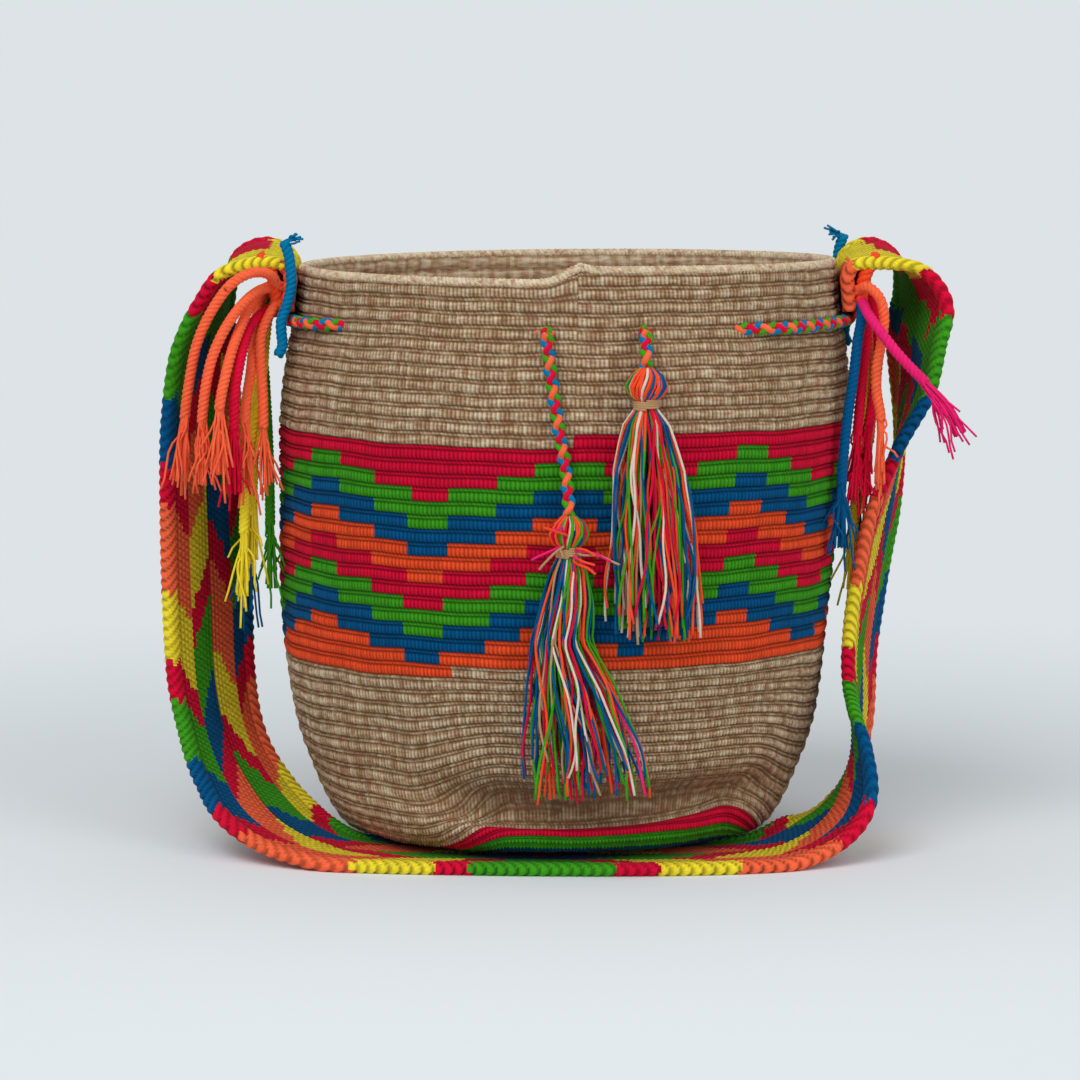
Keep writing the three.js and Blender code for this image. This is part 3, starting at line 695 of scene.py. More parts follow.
def new_group(name, inputs, outputs):
    """Shader node group with named sockets; returns it with its input and output nodes."""
    group = bpy.data.node_groups.new(name, "ShaderNodeTree")
    for socket, kind in inputs:
        group.interface.new_socket(socket, in_out="INPUT", socket_type=kind)
    for socket, kind in outputs:
        group.interface.new_socket(socket, in_out="OUTPUT", socket_type=kind)
    return group, group.nodes.new("NodeGroupInput"), group.nodes.new("NodeGroupOutput")


def stretched_noise(tree, scale, detail, turn=0.0):
    """Noise on the yarn's own UV map, stretched by a scale along and across."""
    uv = add_node(tree, "ShaderNodeUVMap", uv_map="yarn").outputs["UV"]
    place = add_node(tree, "ShaderNodeMapping", {"Vector": uv, "Scale": (*scale, 1), "Rotation": (0, 0, turn)})
    noise = add_node(tree, "ShaderNodeTexNoise", {
        "Vector": place.outputs["Vector"], "Scale": 1.0, "Detail": detail})
    return noise.outputs["Fac"]


def math_node(tree, operation, first, second, third=None):
    """One sum on values or links."""
    made = add_node(tree, "ShaderNodeMath", operation=operation)
    for place, value in enumerate((first, second, third)):
        if isinstance(value, bpy.types.NodeSocket):
            link(tree, value, made.inputs[place])
        elif value is not None:
            made.inputs[place].default_value = value
    return made.outputs[0]


def spun_yarn_group():
    """Spun yarn: slanting fibres and slow changes of tone on the UV map, with painted shade that darkens it down
    between the stitches.
    """
    group, given, result = new_group(
        "Spun Yarn",
        [("Color", "NodeSocketColor"), ("Hollow Shade", "NodeSocketFloat"), ("Fibre Contrast", "NodeSocketFloat")],
        [("Color", "NodeSocketColor"), ("Roughness", "NodeSocketFloat"), ("Height", "NodeSocketFloat")])
    fibre = stretched_noise(group, (2.6, 0.75), 2.0, 0.7)
    slow = stretched_noise(group, (0.09, 0.12), 1.0)
    # Painted shade: the colour is darkened towards Hollow Shade where the relief is low, between the stitches and in
    # the front fold.
    relief = add_node(group, "ShaderNodeAttribute", attribute_name="relief").outputs["Fac"]
    hollow = add_node(group, "ShaderNodeMapRange", {"Value": relief, "From Min": 0.02, "From Max": 0.8,
                                                    "To Min": given.outputs["Hollow Shade"], "To Max": 1.0})
    swing = math_node(group, "SUBTRACT", fibre, 0.5)
    grain = math_node(group, "MULTIPLY_ADD", swing, given.outputs["Fibre Contrast"], 1.0)
    tone = math_node(group, "MULTIPLY_ADD", slow, 0.36, 0.82)
    shade = math_node(group, "MULTIPLY", math_node(group, "MULTIPLY", grain, tone), hollow.outputs[0])
    tint = add_node(group, "ShaderNodeMix", data_type="RGBA", blend_type="MULTIPLY")
    tint.inputs["Factor"].default_value = 1.0
    colour_in = [s for s in tint.inputs if s.type == "RGBA"]
    link(group, given.outputs["Color"], colour_in[0])
    link(group, shade, colour_in[1])
    link(group, [s for s in tint.outputs if s.type == "RGBA"][0], result.inputs["Color"])
    link(group, math_node(group, "MULTIPLY_ADD", fibre, 0.2, 0.72), result.inputs["Roughness"])
    link(group, fibre, result.inputs["Height"])
    return group


def heather_group():
    """Heathered natural yarn: cream, tan and brown in short streaks along the rounds, with a reddish cast in places,
    and painted shade that turns it browner where the relief is low.
    """
    group, given, result = new_group(
        "Heathered Yarn",
        [(name, "NodeSocketColor") for name in ("Cream", "Tan", "Brown", "Russet")],
        [("Color", "NodeSocketColor")])
    streak = stretched_noise(group, (0.16, 0.6), 2.0)
    cast = stretched_noise(group, (0.09, 0.5), 2.0)
    uv = add_node(group, "ShaderNodeUVMap", uv_map="yarn").outputs["UV"]
    cell = add_node(group, "ShaderNodeVectorMath", {0: uv, 1: STITCH_CELL}, operation="SNAP").outputs["Vector"]
    fleck = add_node(group, "ShaderNodeTexWhiteNoise", {"Vector": cell}, noise_dimensions="2D").outputs["Value"]
    relief = add_node(group, "ShaderNodeAttribute", attribute_name="relief").outputs["Fac"]
    # Painted shade: low relief, between the stitches and in the front fold, pulls the mix towards brown; the
    # white-noise fleck is the yarn's own tone from stitch to stitch.
    raised = math_node(group, "MULTIPLY_ADD", relief, 0.26, math_node(group, "MULTIPLY", fleck, 0.13))
    mix = math_node(group, "MULTIPLY_ADD", streak, 0.5, raised)

    def blend(low, high, first, second, by):
        part = add_node(group, "ShaderNodeMapRange", {"Value": by, "From Min": low, "From Max": high})
        made = add_node(group, "ShaderNodeMix", {"Factor": part.outputs[0]}, data_type="RGBA")
        sockets = [s for s in made.inputs if s.type == "RGBA"]
        link(group, first, sockets[0])
        link(group, second, sockets[1])
        return [s for s in made.outputs if s.type == "RGBA"][0]

    dark = blend(0.31, 0.46, given.outputs["Brown"], given.outputs["Tan"], mix)
    light = blend(0.45, 0.61, dark, given.outputs["Cream"], mix)
    russet = blend(0.50, 0.80, light, given.outputs["Russet"], cast)
    link(group, russet, result.inputs["Color"])
    return group


def linear(colour):
    """Screen colour as the scene-linear RGBA that shaders take."""
    c = np.asarray(colour[:3], float)
    return (*np.where(c <= 0.04045, c / 12.92, ((c + 0.055) / 1.055) ** 2.4), 1.0)


def yarn_material(name, colours, hollow, contrast):
    """Matt spun yarn of one colour, or heathered where four colours are given."""
    made = bpy.data.materials.new(f"{name} yarn")
    made.use_nodes = True
    tree = made.node_tree
    tree.nodes.clear()
    spun = add_node(tree, "ShaderNodeGroup", node_tree=bpy.data.node_groups["Spun Yarn"])
    spun.inputs["Hollow Shade"].default_value = hollow
    spun.inputs["Fibre Contrast"].default_value = contrast
    if len(colours) == 1:
        spun.inputs["Color"].default_value = linear(colours[0])
    else:
        heather = add_node(tree, "ShaderNodeGroup", node_tree=bpy.data.node_groups["Heathered Yarn"])
        for socket, colour in zip(("Cream", "Tan", "Brown", "Russet"), colours):
            heather.inputs[socket].default_value = linear(colour)
        link(tree, heather.outputs["Color"], spun.inputs["Color"])
    bump = add_node(tree, "ShaderNodeBump", {"Height": spun.outputs["Height"], "Strength": 0.5, "Distance": 0.0005})
    shader = add_node(tree, "ShaderNodeBsdfPrincipled", {
        "Base Color": spun.outputs["Color"], "Roughness": spun.outputs["Roughness"], "Normal": bump.outputs["Normal"],
        "Specular IOR Level": 0.06, "Sheen Weight": 0.03, "Sheen Roughness": 0.5})
    out = add_node(tree, "ShaderNodeOutputMaterial")
    link(tree, shader.outputs["BSDF"], out.inputs["Surface"])
    made.diffuse_color = linear(colours[0])
    return made


# Settings

def colour_property(name, red, green, blue):
    """Colour setting, given as it shows on screen."""
    return bpy.props.FloatVectorProperty(
        name=name, description=f"Colour of the {name.lower()}", subtype="COLOR_GAMMA", size=3, min=0, max=1,
        default=(red / 255, green / 255, blue / 255))


class BagSizes(bpy.types.PropertyGroup):
    """Sizes of the crochet, the cords and the strands."""
    stitches: bpy.props.IntProperty(name="Stitches", description="Stitches in a round of the bag", default=400, min=40)
    samples: bpy.props.IntProperty(name="Stitch samples", description="Points across a stitch", default=2, min=2)
    relief: bpy.props.FloatProperty(
        name="Stitch relief", description="Height of a stitch above the groove", default=0.0017, unit="LENGTH")
    tail_cord: bpy.props.FloatProperty(
        name="Tail cord", description="Diameter of a twisted tail", default=0.0048, unit="LENGTH")
    drawstring: bpy.props.FloatProperty(
        name="Drawstring", description="Diameter of the braided drawstring", default=0.006, unit="LENGTH")
    strand: bpy.props.FloatProperty(
        name="Strand", description="Diameter of a loose strand of yarn", default=0.0012, unit="LENGTH")
    skirt_strands: bpy.props.IntProperty(
        name="Skirt strands", description="Strands in the skirt of a tassel", default=140, min=12)


class BagColours(bpy.types.PropertyGroup):
    """Colours of the yarns."""
    cream_fleck: colour_property("Pale fleck of the natural yarn", 222, 206, 176)
    natural: colour_property("Natural yarn", 190, 160, 124)
    brown_fleck: colour_property("Brown fleck of the natural yarn", 148, 112, 78)
    russet_fleck: colour_property("Russet fleck of the natural yarn", 166, 108, 80)
    crimson: colour_property("Crimson yarn", 222, 14, 56)
    green: colour_property("Green yarn", 64, 160, 30)
    blue: colour_property("Blue yarn", 0, 86, 138)
    orange: colour_property("Orange yarn", 250, 84, 42)
    # Coral is a lighter copy of the orange; where it takes the orange's place on the tails it is painted highlight.
    coral: colour_property("Coral yarn of the tails", 255, 108, 68)
    azure: colour_property("Azure yarn of the lashings", 0, 122, 172)
    yellow: colour_property("Yellow yarn", 246, 224, 52)
    pink: colour_property("Pink yarn", 240, 36, 118)
    cream: colour_property("Cream yarn", 226, 210, 192)
    beige: colour_property("Beige yarn", 186, 146, 106)


def settings(context):
    """Sizes and colours of the scene."""
    return context.scene.bag_sizes, context.scene.bag_colours


def place(made, body, slot, *nodes):
    """Lets a piece ride on its body and stand for its CAD nodes; the slot it is given is not used."""
    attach(made, body)
    if nodes:
        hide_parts(*nodes)
    return made


# Pieces

class BAG_OT_materials(bpy.types.Operator):
    """Make the yarns"""
    bl_idname = "bag.materials"
    bl_label = "Yarns"

    def execute(self, context):
        _, colours = settings(context)
        spun_yarn_group()
        heather_group()
        for name in YARNS:
            shades = [getattr(colours, name)]
            if name == "natural":
                shades = [colours.cream_fleck, colours.natural, colours.brown_fleck, colours.russet_fleck]
            # The second number is the painted shade between the stitches: the natural yarn darkens to half there, the
            # other yarns further.
            yarn_material(name, shades, 0.5 if name == "natural" else 0.27, 0.6)
        return {"FINISHED"}


class BAG_OT_wall(bpy.types.Operator):
    """Crochet the wall, the colour band and the base"""
    bl_idname = "bag.wall"
    bl_label = "Crochet wall"

    def execute(self, context):
        sizes, _ = settings(context)
        band_end = BAND_START + BAND_ROUNDS
        stretches = (("bag_upper_wall", 0, BAND_START, 11), ("bag_colour_band", BAND_START, band_end, 12),
                     ("bag_lower_wall", band_end, BASE_START, 13), ("bag_base", BASE_START, BASE_START + BASE_ROUNDS, 14))
        for name, first, last, seed in stretches:
            place(put_wall(name, first, last, sizes, seed), "bag", "natural_yarn", "bag_body")
        return {"FINISHED"}


class BAG_OT_lining(bpy.types.Operator):
    """Crochet the inside face, the sole and the chain border of the rim"""
    bl_idname = "bag.lining"
    bl_label = "Inside, sole and rim"

    def execute(self, context):
        sizes, _ = settings(context)
        place(self.inside(sizes), "bag", "natural_yarn", "bag_body")
        place(self.sole(), "bag", "natural_yarn", "bag_body")
        place(self.rim(), "bag", "natural_yarn", "bag_body")
        return {"FINISHED"}

    def inside(self, sizes):
        """Inside face: the wall moved in by its thickness, with softer rounds, closed by the floor of the bag."""
        stitches = sizes.stitches // 2
        cols = stitches + 1
        turn = np.linspace(0, 1, cols)
        angles = SEAM + 360 * turn
        table, run = wall_table(angles)
        last = BASE_START + 1
        rounds = (np.arange(0, last)[:, None] + np.array([0, 0.35, 0.7])[None]).ravel()
        level = spiral(rounds[:, None], turn[None])
        base = on_wall(table, run, round_distance(level, angles[None]))
        outward = unit(np.cross(np.gradient(base, axis=0), np.gradient(base, axis=1)))
        wave = np.tile([0.0, 1.0, 0.6], last)[:, None] * (0.8 + 0.2 * np.cos(np.pi * np.arange(cols))[None])
        lift = -WALL - 0.9 * wave + 0.8 * sway(angles[None], level) - dents(angles[None], base[..., 2])
        points = base + outward * lift[..., None]
        floor = points[-1]
        middle = np.array([0.0, 0.0, 14.0])
        shares = np.linspace(1, 0.02, 24)[1:, None, None]
        disc = middle + (floor - middle)[None] * shares
        disc[..., 2] += 0.5 * np.cos(np.pi * np.arange(len(disc)))[:, None]
        points = np.concatenate([points, disc])
        quads, places = grid_quads(len(points), cols, False)
        row = np.append(np.floor(rounds + 1e-6), np.full(len(disc), last)).astype(int)[:-1]
        yarn = round_yarn(row[:, None], np.broadcast_to(angles[None, :-1], (len(row), cols - 1)), turn[None, :-1])
        yarn[1 - len(disc):] = ring_yarns(len(disc) - 1)[:, None]
        # Painted shade: the relief here only sets painted shade, darker on the low rows between the inside's rounds;
        # the floor of the bag gets one steady value.
        relief = np.concatenate([0.3 + 0.7 * wave, np.full(disc.shape[:2], 0.8)])
        uv = np.stack([4.0 * places[..., 0], 2.1 * places[..., 1]], -1)
        return put_mesh("bag_inside", points.reshape(-1, 3) * MM, quads[:, ::-1], uv[:, ::-1],
                        yarn.ravel(), relief.ravel())

    def sole(self):
        """Underside: rings from the base to the middle, kept flat, with painted shade on every other row of points to
        stand for the grooves between them.
        """
        cols = 201
        turn = np.linspace(0, 1, cols)
        angles = SEAM + 360 * turn
        table, run = wall_table(angles)
        start = round_distance(np.full(cols, BASE_START + BASE_ROUNDS), angles)
        share = np.linspace(0, 1, 40)[:, None]
        edge = on_wall(table, run, start[None] + (run[-1] - start)[None] * share)
        shrink = np.linspace(1, 0.01, 16)[1:, None, None]
        points = np.concatenate([edge, edge[-1][None] * shrink * [1, 1, 0] + [0, 0, 0.4]])
        points[..., 2] = np.maximum(points[..., 2], FLOOR_GAP)
        quads, places = grid_quads(len(points), cols, False)
        # Painted shade: every other row of the sole is darkened through the relief value.
        painted_ring_shade = 0.5 + 0.5 * np.cos(np.pi * np.arange(len(points)))[:, None] * np.ones(cols)
        yarn = ring_yarns(len(points) - 1)[:, None] * np.ones(cols - 1, int)
        uv = np.stack([4.0 * places[..., 0], 3.0 * places[..., 1]], -1)
        return put_mesh("bag_sole", points.reshape(-1, 3) * MM, quads, uv, yarn.ravel(), painted_ring_shade.ravel())

    def rim(self):
        """Chain border: two plies twisted round the rim's edge, which steps up by a round at the seam."""
        turn = np.linspace(0, 1, 1500)
        angles = SEAM + 360 * turn
        table, run = wall_table(angles)
        level = spiral(0.0, turn)[None]
        base = on_wall(table, run, round_distance(level, angles[None]))[0]
        middle = on_wall(table, run, np.zeros((1, len(turn))))[0].mean(axis=0)
        inward = unit((middle - base) * [1, 1, 0])
        path = base + inward * (0.5 * WALL) + [0, 0, 0.4]
        path += -inward * (0.8 * sway(angles, level[0]) - dents(angles, base[:, 2]))[:, None]
        path[:, 2] += 1.5 * np.exp(-((turn - 1) / 0.006) ** 2) + 1.5 * np.exp(-(turn / 0.006) ** 2)
        lines, radius = twist(path * MM, 4.6 * MM, 2, 3.9 * MM)
        return put_tubes("rim_border", lines, np.full((2, 1), radius), 6, YARN["natural"])


class BAG_OT_strap(bpy.types.Operator):
    """Weave the shoulder strap"""
    bl_idname = "bag.strap"
    bl_label = "Woven strap"

    def execute(self, context):
        steps, columns = 790, 24
        line, across, up, run = strap_frames(steps)
        inner = STRAP_WIDTH / 2 - 1.4
        width = np.linspace(-inner, inner, 2 * columns + 1)
        bend = np.radians([-54, -18, 18, 54])
        half = 2.0
        flat = np.zeros(len(width))
        place_w = np.concatenate([width, inner + 1.7 * np.cos(bend), width[::-1], -inner - 1.7 * np.cos(bend)])
        place_h = np.concatenate([flat + half, -half * np.sin(bend), flat - half, half * np.sin(bend)])
        normal_w = np.concatenate([flat, np.cos(bend), flat, -np.cos(bend)])
        normal_h = np.concatenate([flat + 1, -np.sin(bend), flat - 1, np.sin(bend)])
        from_edge = np.concatenate([3.4 + inner - np.abs(width), 2.2 * np.abs(bend)] * 2)
        plaited = 1 - smoothstep(from_edge, 6.5, 8.5)
        column = (place_w + STRAP_WIDTH / 2) / (STRAP_WIDTH / columns)
        brick = np.cos(2 * np.pi * (run[:, None] / 3.2 + 0.5 * (np.floor(column)[None] % 2)))
        knit = np.abs(np.sin(np.pi * column))[None] ** 0.7 * (0.58 + 0.42 * brick)
        slant = run[:, None] / PLAIT_PITCH + from_edge[None] / PLAIT_SLANT
        plait = (0.5 + 0.5 * np.cos(2 * np.pi * slant)) ** 0.6
        relief = knit * (1 - plaited) + plait * plaited
        lift = 0.9 * (relief - 0.4) + 0.9 * plaited
        w = place_w[None] + lift * normal_w[None]
        h = place_h[None] + lift * normal_h[None]
        points = line[:, None] + across[:, None] * w[..., None] + up[:, None] * h[..., None]
        points[..., 2] = np.maximum(points[..., 2], FLOOR_GAP)
        cols = len(place_w)
        quads, places = grid_quads(steps, cols, True)
        knit_run = np.round(run[:-1, None] / 3.2 + 0.5 * (np.floor(column)[None] % 2)) * 3.2
        plait_run = (np.round(slant[:-1]) - from_edge[None] / PLAIT_SLANT) * PLAIT_PITCH
        stitch = np.where(plaited[None] > 0.5, plait_run, knit_run)
        cell = np.floor(np.clip(column, 0, columns - 0.01)) + 0.5
        lane_at = np.where(plaited > 0.5, np.sign(place_w) * (inner - 1),
                           cell * STRAP_WIDTH / columns - STRAP_WIDTH / 2)
        yarn = strap_yarn(stitch, run[-1], np.broadcast_to(lane_at[None], stitch.shape))
        uv = np.stack([1.25 * places[..., 0], run[np.clip(places[..., 1], 0, steps - 1)]], -1)
        body = points.reshape(-1, 3) * MM
        ends = np.stack([line[0], line[-1]]) * MM
        ring = np.arange(cols)
        after = (ring + 1) % cols
        last = (steps - 1) * cols
        tris = np.concatenate([np.stack([np.full(cols, len(body)), after, ring], -1),
                               np.stack([np.full(cols, len(body) + 1), last + ring, last + after], -1)])
        # Painted shade: the relief also goes to the yarns, which darken it in the hollows between the strap's stitches
        # and plaits.
        made = put_mesh("woven_strap", np.concatenate([body, ends]), quads, uv, yarn.ravel(),
                        np.append(relief.ravel(), [1, 1]), tris, YARN["orange"])
        place(made, "bag", "strap_yarn", "shoulder_strap")
        bunches = [self.bunch(-1, "left"), self.bunch(1, "right")]
        return {"FINISHED"}

    def bunch(self, side, word):
        """Gathered strap end: thick orange plies that come over the rim and draw together where the tails begin."""
        rows = []
        for back in np.linspace(-27, 12, 8):
            rows.append(even_path(beside_strap_end(side, [
                [12, back, 20], [7, back, 16], [4.2, 0.95 * back - 1, 8], [3.2, 0.85 * back - 3, 0],
                [3.4, 0.75 * back - 6, -7]]) * MM, 50))
        lines = np.concatenate([twist(path, 0.0062, 3, 0.0095)[0] for path in rows])
        made = put_tubes(f"{word}_strap_end", lines, np.full((len(lines), 1), 0.0017), 7, YARN["orange"])
        return place(made, "bag", "strap_yarn", "shoulder_strap")


class BAG_OT_tails(bpy.types.Operator):
    """Twist the tails at the strap ends and fray their ends"""
    bl_idname = "bag.tails"
    bl_label = "Twisted tails"

    def execute(self, context):
        sizes, _ = settings(context)
        for side, word, tails in ((-1, "left", LEFT_TAILS), (1, "right", RIGHT_TAILS)):
            for count, (yarn, route) in enumerate(tails, 1):
                self.tail(f"{word}_tail_{count}", tail_path(side, route), yarn, sizes, 40 * (side + 2) + count)
        return {"FINISHED"}

    def tail(self, name, points, yarn, sizes, seed):
        """One tail: three plies twisted together that open into strands over the last part of the route."""
        rng = np.random.default_rng(seed)
        # Orange tails take the coral yarn, a lighter copy of the orange: painted highlight on the tails.
        shade = YARN["coral" if yarn == "orange" else yarn]
        path = even_path(points, 200)
        run = lengths(path)
        whole = run[-1]
        bound = whole - min(0.034, 0.34 * whole)
        rope = path[: int(np.searchsorted(run, bound + 0.004))]
        lines, radius = twist(rope, sizes.tail_cord, 3, 1.5 * sizes.tail_cord)
        tail_part = path[np.linspace(np.searchsorted(run, bound), len(path) - 1, 16).astype(int)]
        step = np.linspace(0, 1, len(tail_part))
        turn = rng.uniform(0, 2 * np.pi, 9)
        first, second = side_frames(tail_part[None])
        reach = (0.0008 + 0.0028 * step[None] ** 0.8 * rng.uniform(0.3, 1, (9, 1)))[..., None]
        strands = tail_part[None] + reach * (np.cos(turn)[:, None, None] * first + np.sin(turn)[:, None, None] * second)
        made = put_parts(f"{name}_cord", [tubes(lines, np.full((3, 1), radius), 7),
                                tubes(strands, np.full((9, 1), sizes.strand / 2), 5)], [shade] * 2)
        heading = unit(tail_part[-1] - tail_part[0])
        loose = frayed(tail_part[0], heading, 14, whole - bound, 0.011, rng)
        fray = put_tubes(f"{name}_fray", loose, np.full((14, 1), sizes.strand / 2.2), 5, shade)
        place(made, "bag", f"{yarn}_yarn", name)
        place(fray, "bag", f"{yarn}_yarn")


class BAG_OT_lashings(bpy.types.Operator):
    """Twist the blue lashings on the strap ends"""
    bl_idname = "bag.lashings"
    bl_label = "Lashings"

    def execute(self, context):
        sizes, _ = settings(context)
        edge_out = (STRAP_WIDTH + LASHING_CORD) / 2 + SEAT_GAP
        for side, edge, word in ((-1, -1, "left"), (1, 1, "right")):
            route = [[out, edge * (edge_out + beyond), above] for out, beyond, above in LASHING]
            path = even_path(beside_strap_end(side, route) * MM, 120)
            lines, radius = twist(path, LASHING_FULL * MM, 3, 1.5 * LASHING_FULL * MM)
            made = put_tubes(f"{word}_lashing_cord", lines, np.full((3, 1), radius), 7, YARN["azure"])
            rng = np.random.default_rng(70 + side)
            sprigs = frayed(path[1], unit(np.array([-side * 0.9, -0.3, 0.5])), 9, 0.009, 0.004, rng)
            fray = put_tubes(f"{word}_lashing_fray", sprigs, np.full((9, 1), sizes.strand / 2), 5, YARN["azure"])
            place(made, "bag", "blue_yarn", f"{word}_lashing")
            place(fray, "bag", "blue_yarn")
        return {"FINISHED"}


TASSEL_YARNS = (["crimson", "orange", "green", "blue"] * 4
                + ["blue", "cream", "cream", "beige", "pink"])
BRAID_YARNS = np.array([YARN[n] for n in ("coral", "crimson", "green", "azure")])


class BAG_OT_drawstring(bpy.types.Operator):
    """Braid the drawstring round the mouth"""
    bl_idname = "bag.drawstring"
    bl_label = "Drawstring"

    def execute(self, context):
        sizes, _ = settings(context)
        path = even_path(drawstring_route(), 640)
        lines, radius = braid(path, sizes.drawstring, 0.0135)
        made = put_tubes("drawstring_braid", lines, np.full((4, 1), radius), 7, BRAID_YARNS)
        place(made, "bag", "braid_yarn", "drawstring")
        return {"FINISHED"}


class BAG_OT_hanging_ends(bpy.types.Operator):
    """Hang the two ends of the drawstring with their tassels"""
    bl_idname = "bag.hanging_ends"
    bl_label = "Hanging ends and tassels"

    def execute(self, context):
        sizes, _ = settings(context)
        for seed, (word, hang) in enumerate(HANGS.items(), 5):
            body = f"{word}_hanging_end"
            neck = np.array(hang["neck"])
            inner = [neck + [0, 0, 9.0], neck + [0, 0, -2.8]]
            path = even_path(np.vstack([hang["cord"], inner]) * MM, 150 if word == "left" else 60)
            lines, radius = braid(path, sizes.drawstring, 0.0135)
            cord = put_tubes(f"{word}_drawcord_braid", lines, np.full((4, 1), radius), 7, BRAID_YARNS)
            tassel = self.tassel(word, neck, hang["skirt"], sizes, np.random.default_rng(seed))
            binding = self.binding(word, neck, sizes)
            place(cord, body, "braid_yarn", f"{word}_drawcord")
            place(tassel, body, "tassel_yarn", f"{word}_tassel")
            place(binding, body, "binding_yarn", f"{word}_tassel_binding")
        return {"FINISHED"}

    def tassel(self, word, neck, skirt, sizes, rng):
        """Strands looped over the cord's end as a ball, tied at the neck and hanging as a skirt."""
        loose = word == "left"
        yarns = np.array([YARN[n] for n in TASSEL_YARNS])
        loops = 70
        height = np.linspace(16.5, -1, 16)
        turn = 2 * np.pi * (np.arange(loops) + rng.uniform(-0.3, 0.3, loops)) / loops
        swirl = rng.uniform(0.1, 1.0, loops)[:, None] * np.linspace(1, 0, 16)[None]
        share = rng.uniform(0.62 if loose else 0.8, 1.0, (loops, 1)) * np.ones(16)
        head = ring_path(HEAD, np.broadcast_to(height, (loops, 16)), turn[:, None] + swirl, share)
        count, steps = sizes.skirt_strands, 30
        step = np.linspace(0, 1, steps)[None]
        end = skirt[-1][0] * rng.uniform(0.84, 1.03, count)
        down = -1 + (end[:, None] + 1) * step ** 1.1
        angle = rng.uniform(-np.pi, np.pi, count)[:, None] + rng.normal(scale=0.55, size=(count, 1)) * step
        layer = np.sqrt(rng.uniform(0.05, 1.15, count))[:, None]
        fall = ring_path(skirt, down, angle, layer)
        slow, quick = rng.uniform(4, 9, (2, count, 1)), rng.uniform(11, 20, (2, count, 1))
        phase = rng.uniform(0, 2 * np.pi, (4, count, 1))
        swing = rng.uniform(0.6, 3.6, (2, count, 1))
        ripple = rng.uniform(0.2, 1.1, (2, count, 1))
        wave = swing * np.sin(slow * step + phase[:2]) + ripple * np.sin(quick * step + phase[2:])
        fall[..., 0] += wave[0] * step ** 0.6
        fall[..., 1] += 0.5 * wave[1] * step ** 0.6
        rings = np.array(skirt[::-1])
        fall[..., 1] = np.minimum(fall[..., 1], 0.8 * np.interp(down, rings[:, 0], rings[:, 3]))
        head_yarn = rng.choice(np.concatenate([yarns, [YARN["orange"]] * (4 if loose else 16)]), loops)
        skirt_yarn = rng.choice(yarns, count)
        parts = [tubes((head + neck) * MM, np.full((loops, 1), 0.62 * sizes.strand), 5),
                 tubes((fall + neck) * MM, np.full((count, 1), 0.52 * sizes.strand), 5)]
        colours = [head_yarn, skirt_yarn]
        if loose:
            stray = np.concatenate([
                frayed((neck + [x, -5.5, z]) * MM, unit(np.array(way)), 3, 0.015, 0.009, rng)
                for x, z, way in ((-3, 3, (-0.9, -0.3, -0.4)), (3, 1, (0.9, -0.3, 0.1)), (0, 8, (-0.6, -0.4, 0.5)),
                                  (2, -2, (0.8, -0.4, -0.6)))])
            parts.append(tubes(stray, np.full((len(stray), 1), 0.5 * sizes.strand), 5))
            colours.append(rng.choice([YARN["pink"], YARN["orange"], YARN["pink"], YARN["beige"]], len(stray)))
        return put_parts(f"{word}_tassel_strands", parts, colours)

    def binding(self, word, neck, sizes):
        """Yarn wound four times round the neck: a helix."""
        turn = np.linspace(0, 8 * np.pi, 130)
        helix = np.stack([5.4 * np.sin(turn), -5.4 * np.cos(turn), np.linspace(2.0, -2.0, 130)], -1)
        return put_tubes(f"{word}_binding_yarn", ((helix + neck) * MM)[None], np.full((1, 1), 0.55 * sizes.strand), 6,
                         YARN["beige"])


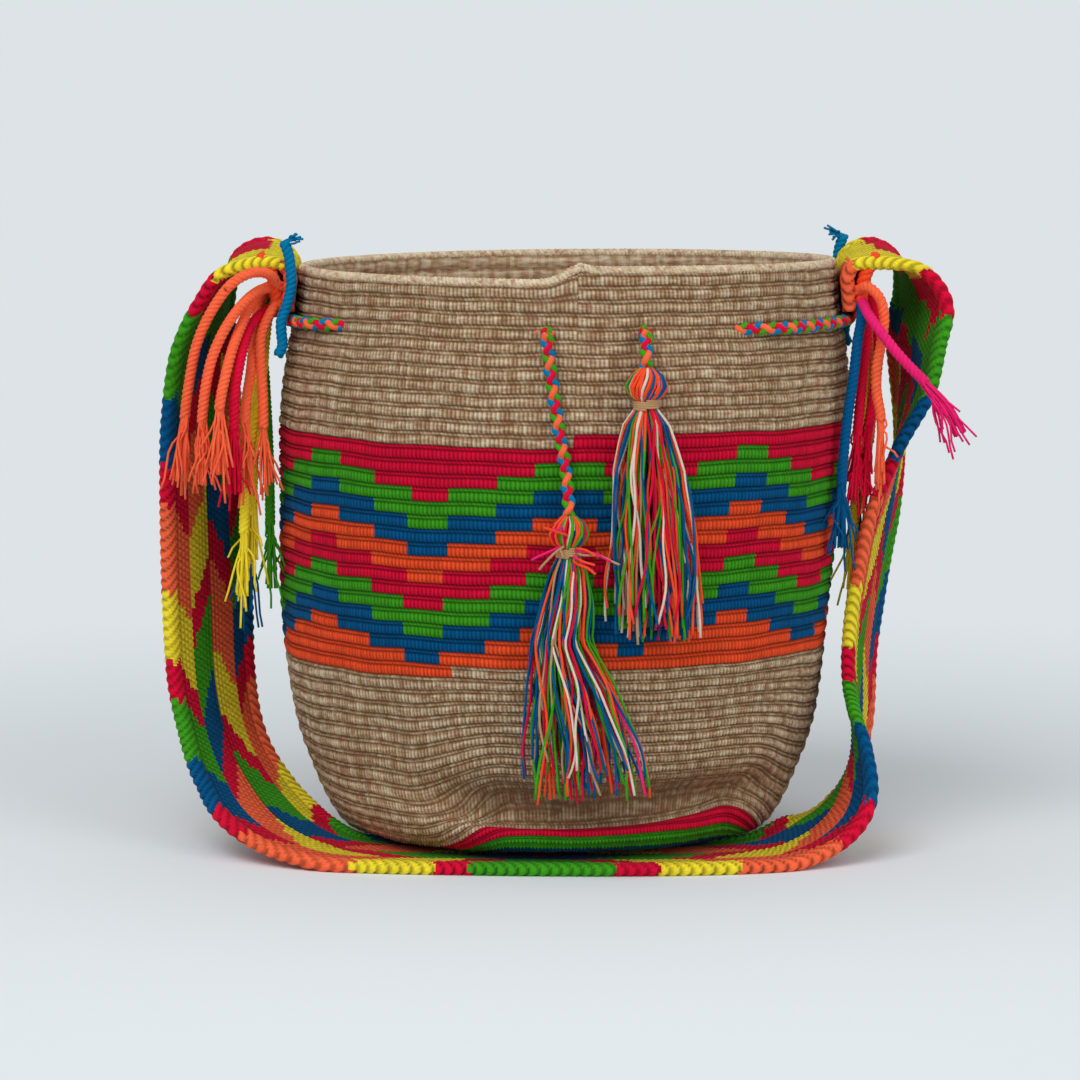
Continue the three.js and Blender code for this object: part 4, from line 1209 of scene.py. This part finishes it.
class BAG_OT_stage(bpy.types.Operator):
    """Set the floor, the lights and the camera"""
    bl_idname = "bag.stage"
    bl_label = "Stage"

    def execute(self, context):
        scene = context.scene
        self.camera(scene)
        self.floor(scene)
        self.lights(scene)
        scene.render.engine = "CYCLES"
        scene.render.resolution_x = scene.render.resolution_y = 1080
        scene.view_settings.view_transform = "Standard"
        return {"FINISHED"}

    def camera(self, scene):
        """Camera at the height and distance of the photograph, looking a little down."""
        lens = bpy.data.cameras.new("camera")
        lens.lens, lens.sensor_width = 138.9, 36.0
        lens.clip_end = 30
        made = bpy.data.objects.new("camera", lens)
        made.location = (-0.0072, -2.0, 0.390)
        made.rotation_euler = (math.radians(83.0), 0, 0)
        scene.collection.objects.link(made)
        scene.camera = made

    def floor(self, scene):
        """Pale floor that fades into the backdrop with distance from the middle."""
        material = bpy.data.materials.new("pale floor")
        material.use_nodes = True
        tree = material.node_tree
        tree.nodes.clear()
        spot = add_node(tree, "ShaderNodeTexCoord").outputs["Object"]
        distance = add_node(tree, "ShaderNodeVectorMath", {0: spot}, operation="LENGTH").outputs["Value"]
        fade = add_node(tree, "ShaderNodeMapRange", {"Value": distance, "From Min": 0.24, "From Max": 0.85},
                        interpolation_type="SMOOTHSTEP")
        paper = add_node(tree, "ShaderNodeBsdfDiffuse", {"Color": (0.83, 0.885, 0.915, 1)})
        clear = add_node(tree, "ShaderNodeBsdfTransparent")
        mix = add_node(tree, "ShaderNodeMixShader", {"Fac": fade.outputs[0]})
        link(tree, paper.outputs[0], mix.inputs[1])
        link(tree, clear.outputs[0], mix.inputs[2])
        link(tree, mix.outputs[0], add_node(tree, "ShaderNodeOutputMaterial").inputs["Surface"])
        mesh = bpy.data.meshes.new("floor")
        mesh.from_pydata([(-1.2, -1.2, 0), (1.2, -1.2, 0), (1.2, 1.2, 0), (-1.2, 1.2, 0)], [], [(0, 1, 2, 3)])
        mesh.materials.append(material)
        made = bpy.data.objects.new("floor", mesh)
        scene.collection.objects.link(made)

    def lights(self, scene):
        """Two wide soft lamps and an even surround, whose own colour shows only to the camera."""
        for name, at, size, power in (("key", (-0.7, -1.5, 1.9), 1.6, 26), ("fill", (1.3, -1.3, 1.0), 1.4, 9)):
            lamp = bpy.data.lights.new(name, "AREA")
            lamp.size, lamp.energy = size, power
            made = bpy.data.objects.new(name, lamp)
            made.location = at
            aim = np.array([0, 0, 0.14]) - at
            tip = math.acos(-aim[2] / np.linalg.norm(aim))
            made.rotation_euler = (-tip, 0, math.atan2(aim[1], aim[0]) + math.pi / 2)
            scene.collection.objects.link(made)
        world = bpy.data.worlds.new("surround")
        world.use_nodes = True
        tree = world.node_tree
        tree.nodes.clear()
        path = add_node(tree, "ShaderNodeLightPath")
        seen = math_node(tree, "MAXIMUM", path.outputs["Is Camera Ray"],
                         math_node(tree, "MAXIMUM", path.outputs["Is Glossy Ray"],
                                   path.outputs["Is Transmission Ray"]))
        backdrop = add_node(tree, "ShaderNodeBackground", {
            "Color": linear((221 / 255, 227 / 255, 230 / 255)), "Strength": 1.0})
        light = add_node(tree, "ShaderNodeBackground", {"Color": (0.97, 0.985, 1.0, 1), "Strength": 0.5})
        mix = add_node(tree, "ShaderNodeMixShader", {"Fac": seen})
        link(tree, light.outputs[0], mix.inputs[1])
        link(tree, backdrop.outputs[0], mix.inputs[2])
        link(tree, mix.outputs[0], add_node(tree, "ShaderNodeOutputWorld").inputs["Surface"])
        scene.world = world


STEPS = (BAG_OT_stage, BAG_OT_materials, BAG_OT_tails, BAG_OT_lashings, BAG_OT_drawstring, BAG_OT_hanging_ends,
         BAG_OT_wall, BAG_OT_lining, BAG_OT_strap)


class BAG_PT_panel(bpy.types.Panel):
    """Sizes, colours and pieces of the bag"""
    bl_idname = "BAG_PT_panel"
    bl_label = "Crochet bag"
    bl_space_type = "VIEW_3D"
    bl_region_type = "UI"
    bl_category = "Bag"

    def draw(self, context):
        """Show the settings and a button for each step."""
        for group in settings(context):
            box = self.layout.box()
            for name in group.__annotations__:
                box.prop(group, name)
        for step in STEPS:
            self.layout.operator(step.bl_idname)


CLASSES = (BagSizes, BagColours, *STEPS, BAG_PT_panel)


def register():
    """Register the classes and the settings of the scene."""
    for entry in CLASSES:
        bpy.utils.register_class(entry)
    bpy.types.Scene.bag_sizes = bpy.props.PointerProperty(type=BagSizes)
    bpy.types.Scene.bag_colours = bpy.props.PointerProperty(type=BagColours)


def unregister():
    """Remove the settings and the classes."""
    del bpy.types.Scene.bag_colours
    del bpy.types.Scene.bag_sizes
    for entry in reversed(CLASSES):
        bpy.utils.unregister_class(entry)


def main():
    """Make the bag step by step."""
    register()
    bpy.ops.bag.stage()
    bpy.ops.bag.materials()
    bpy.ops.bag.tails()
    bpy.ops.bag.lashings()
    bpy.ops.bag.drawstring()
    bpy.ops.bag.hanging_ends()
    bpy.ops.bag.wall()
    bpy.ops.bag.lining()
    bpy.ops.bag.strap()


if __name__ == "__main__":
    main()
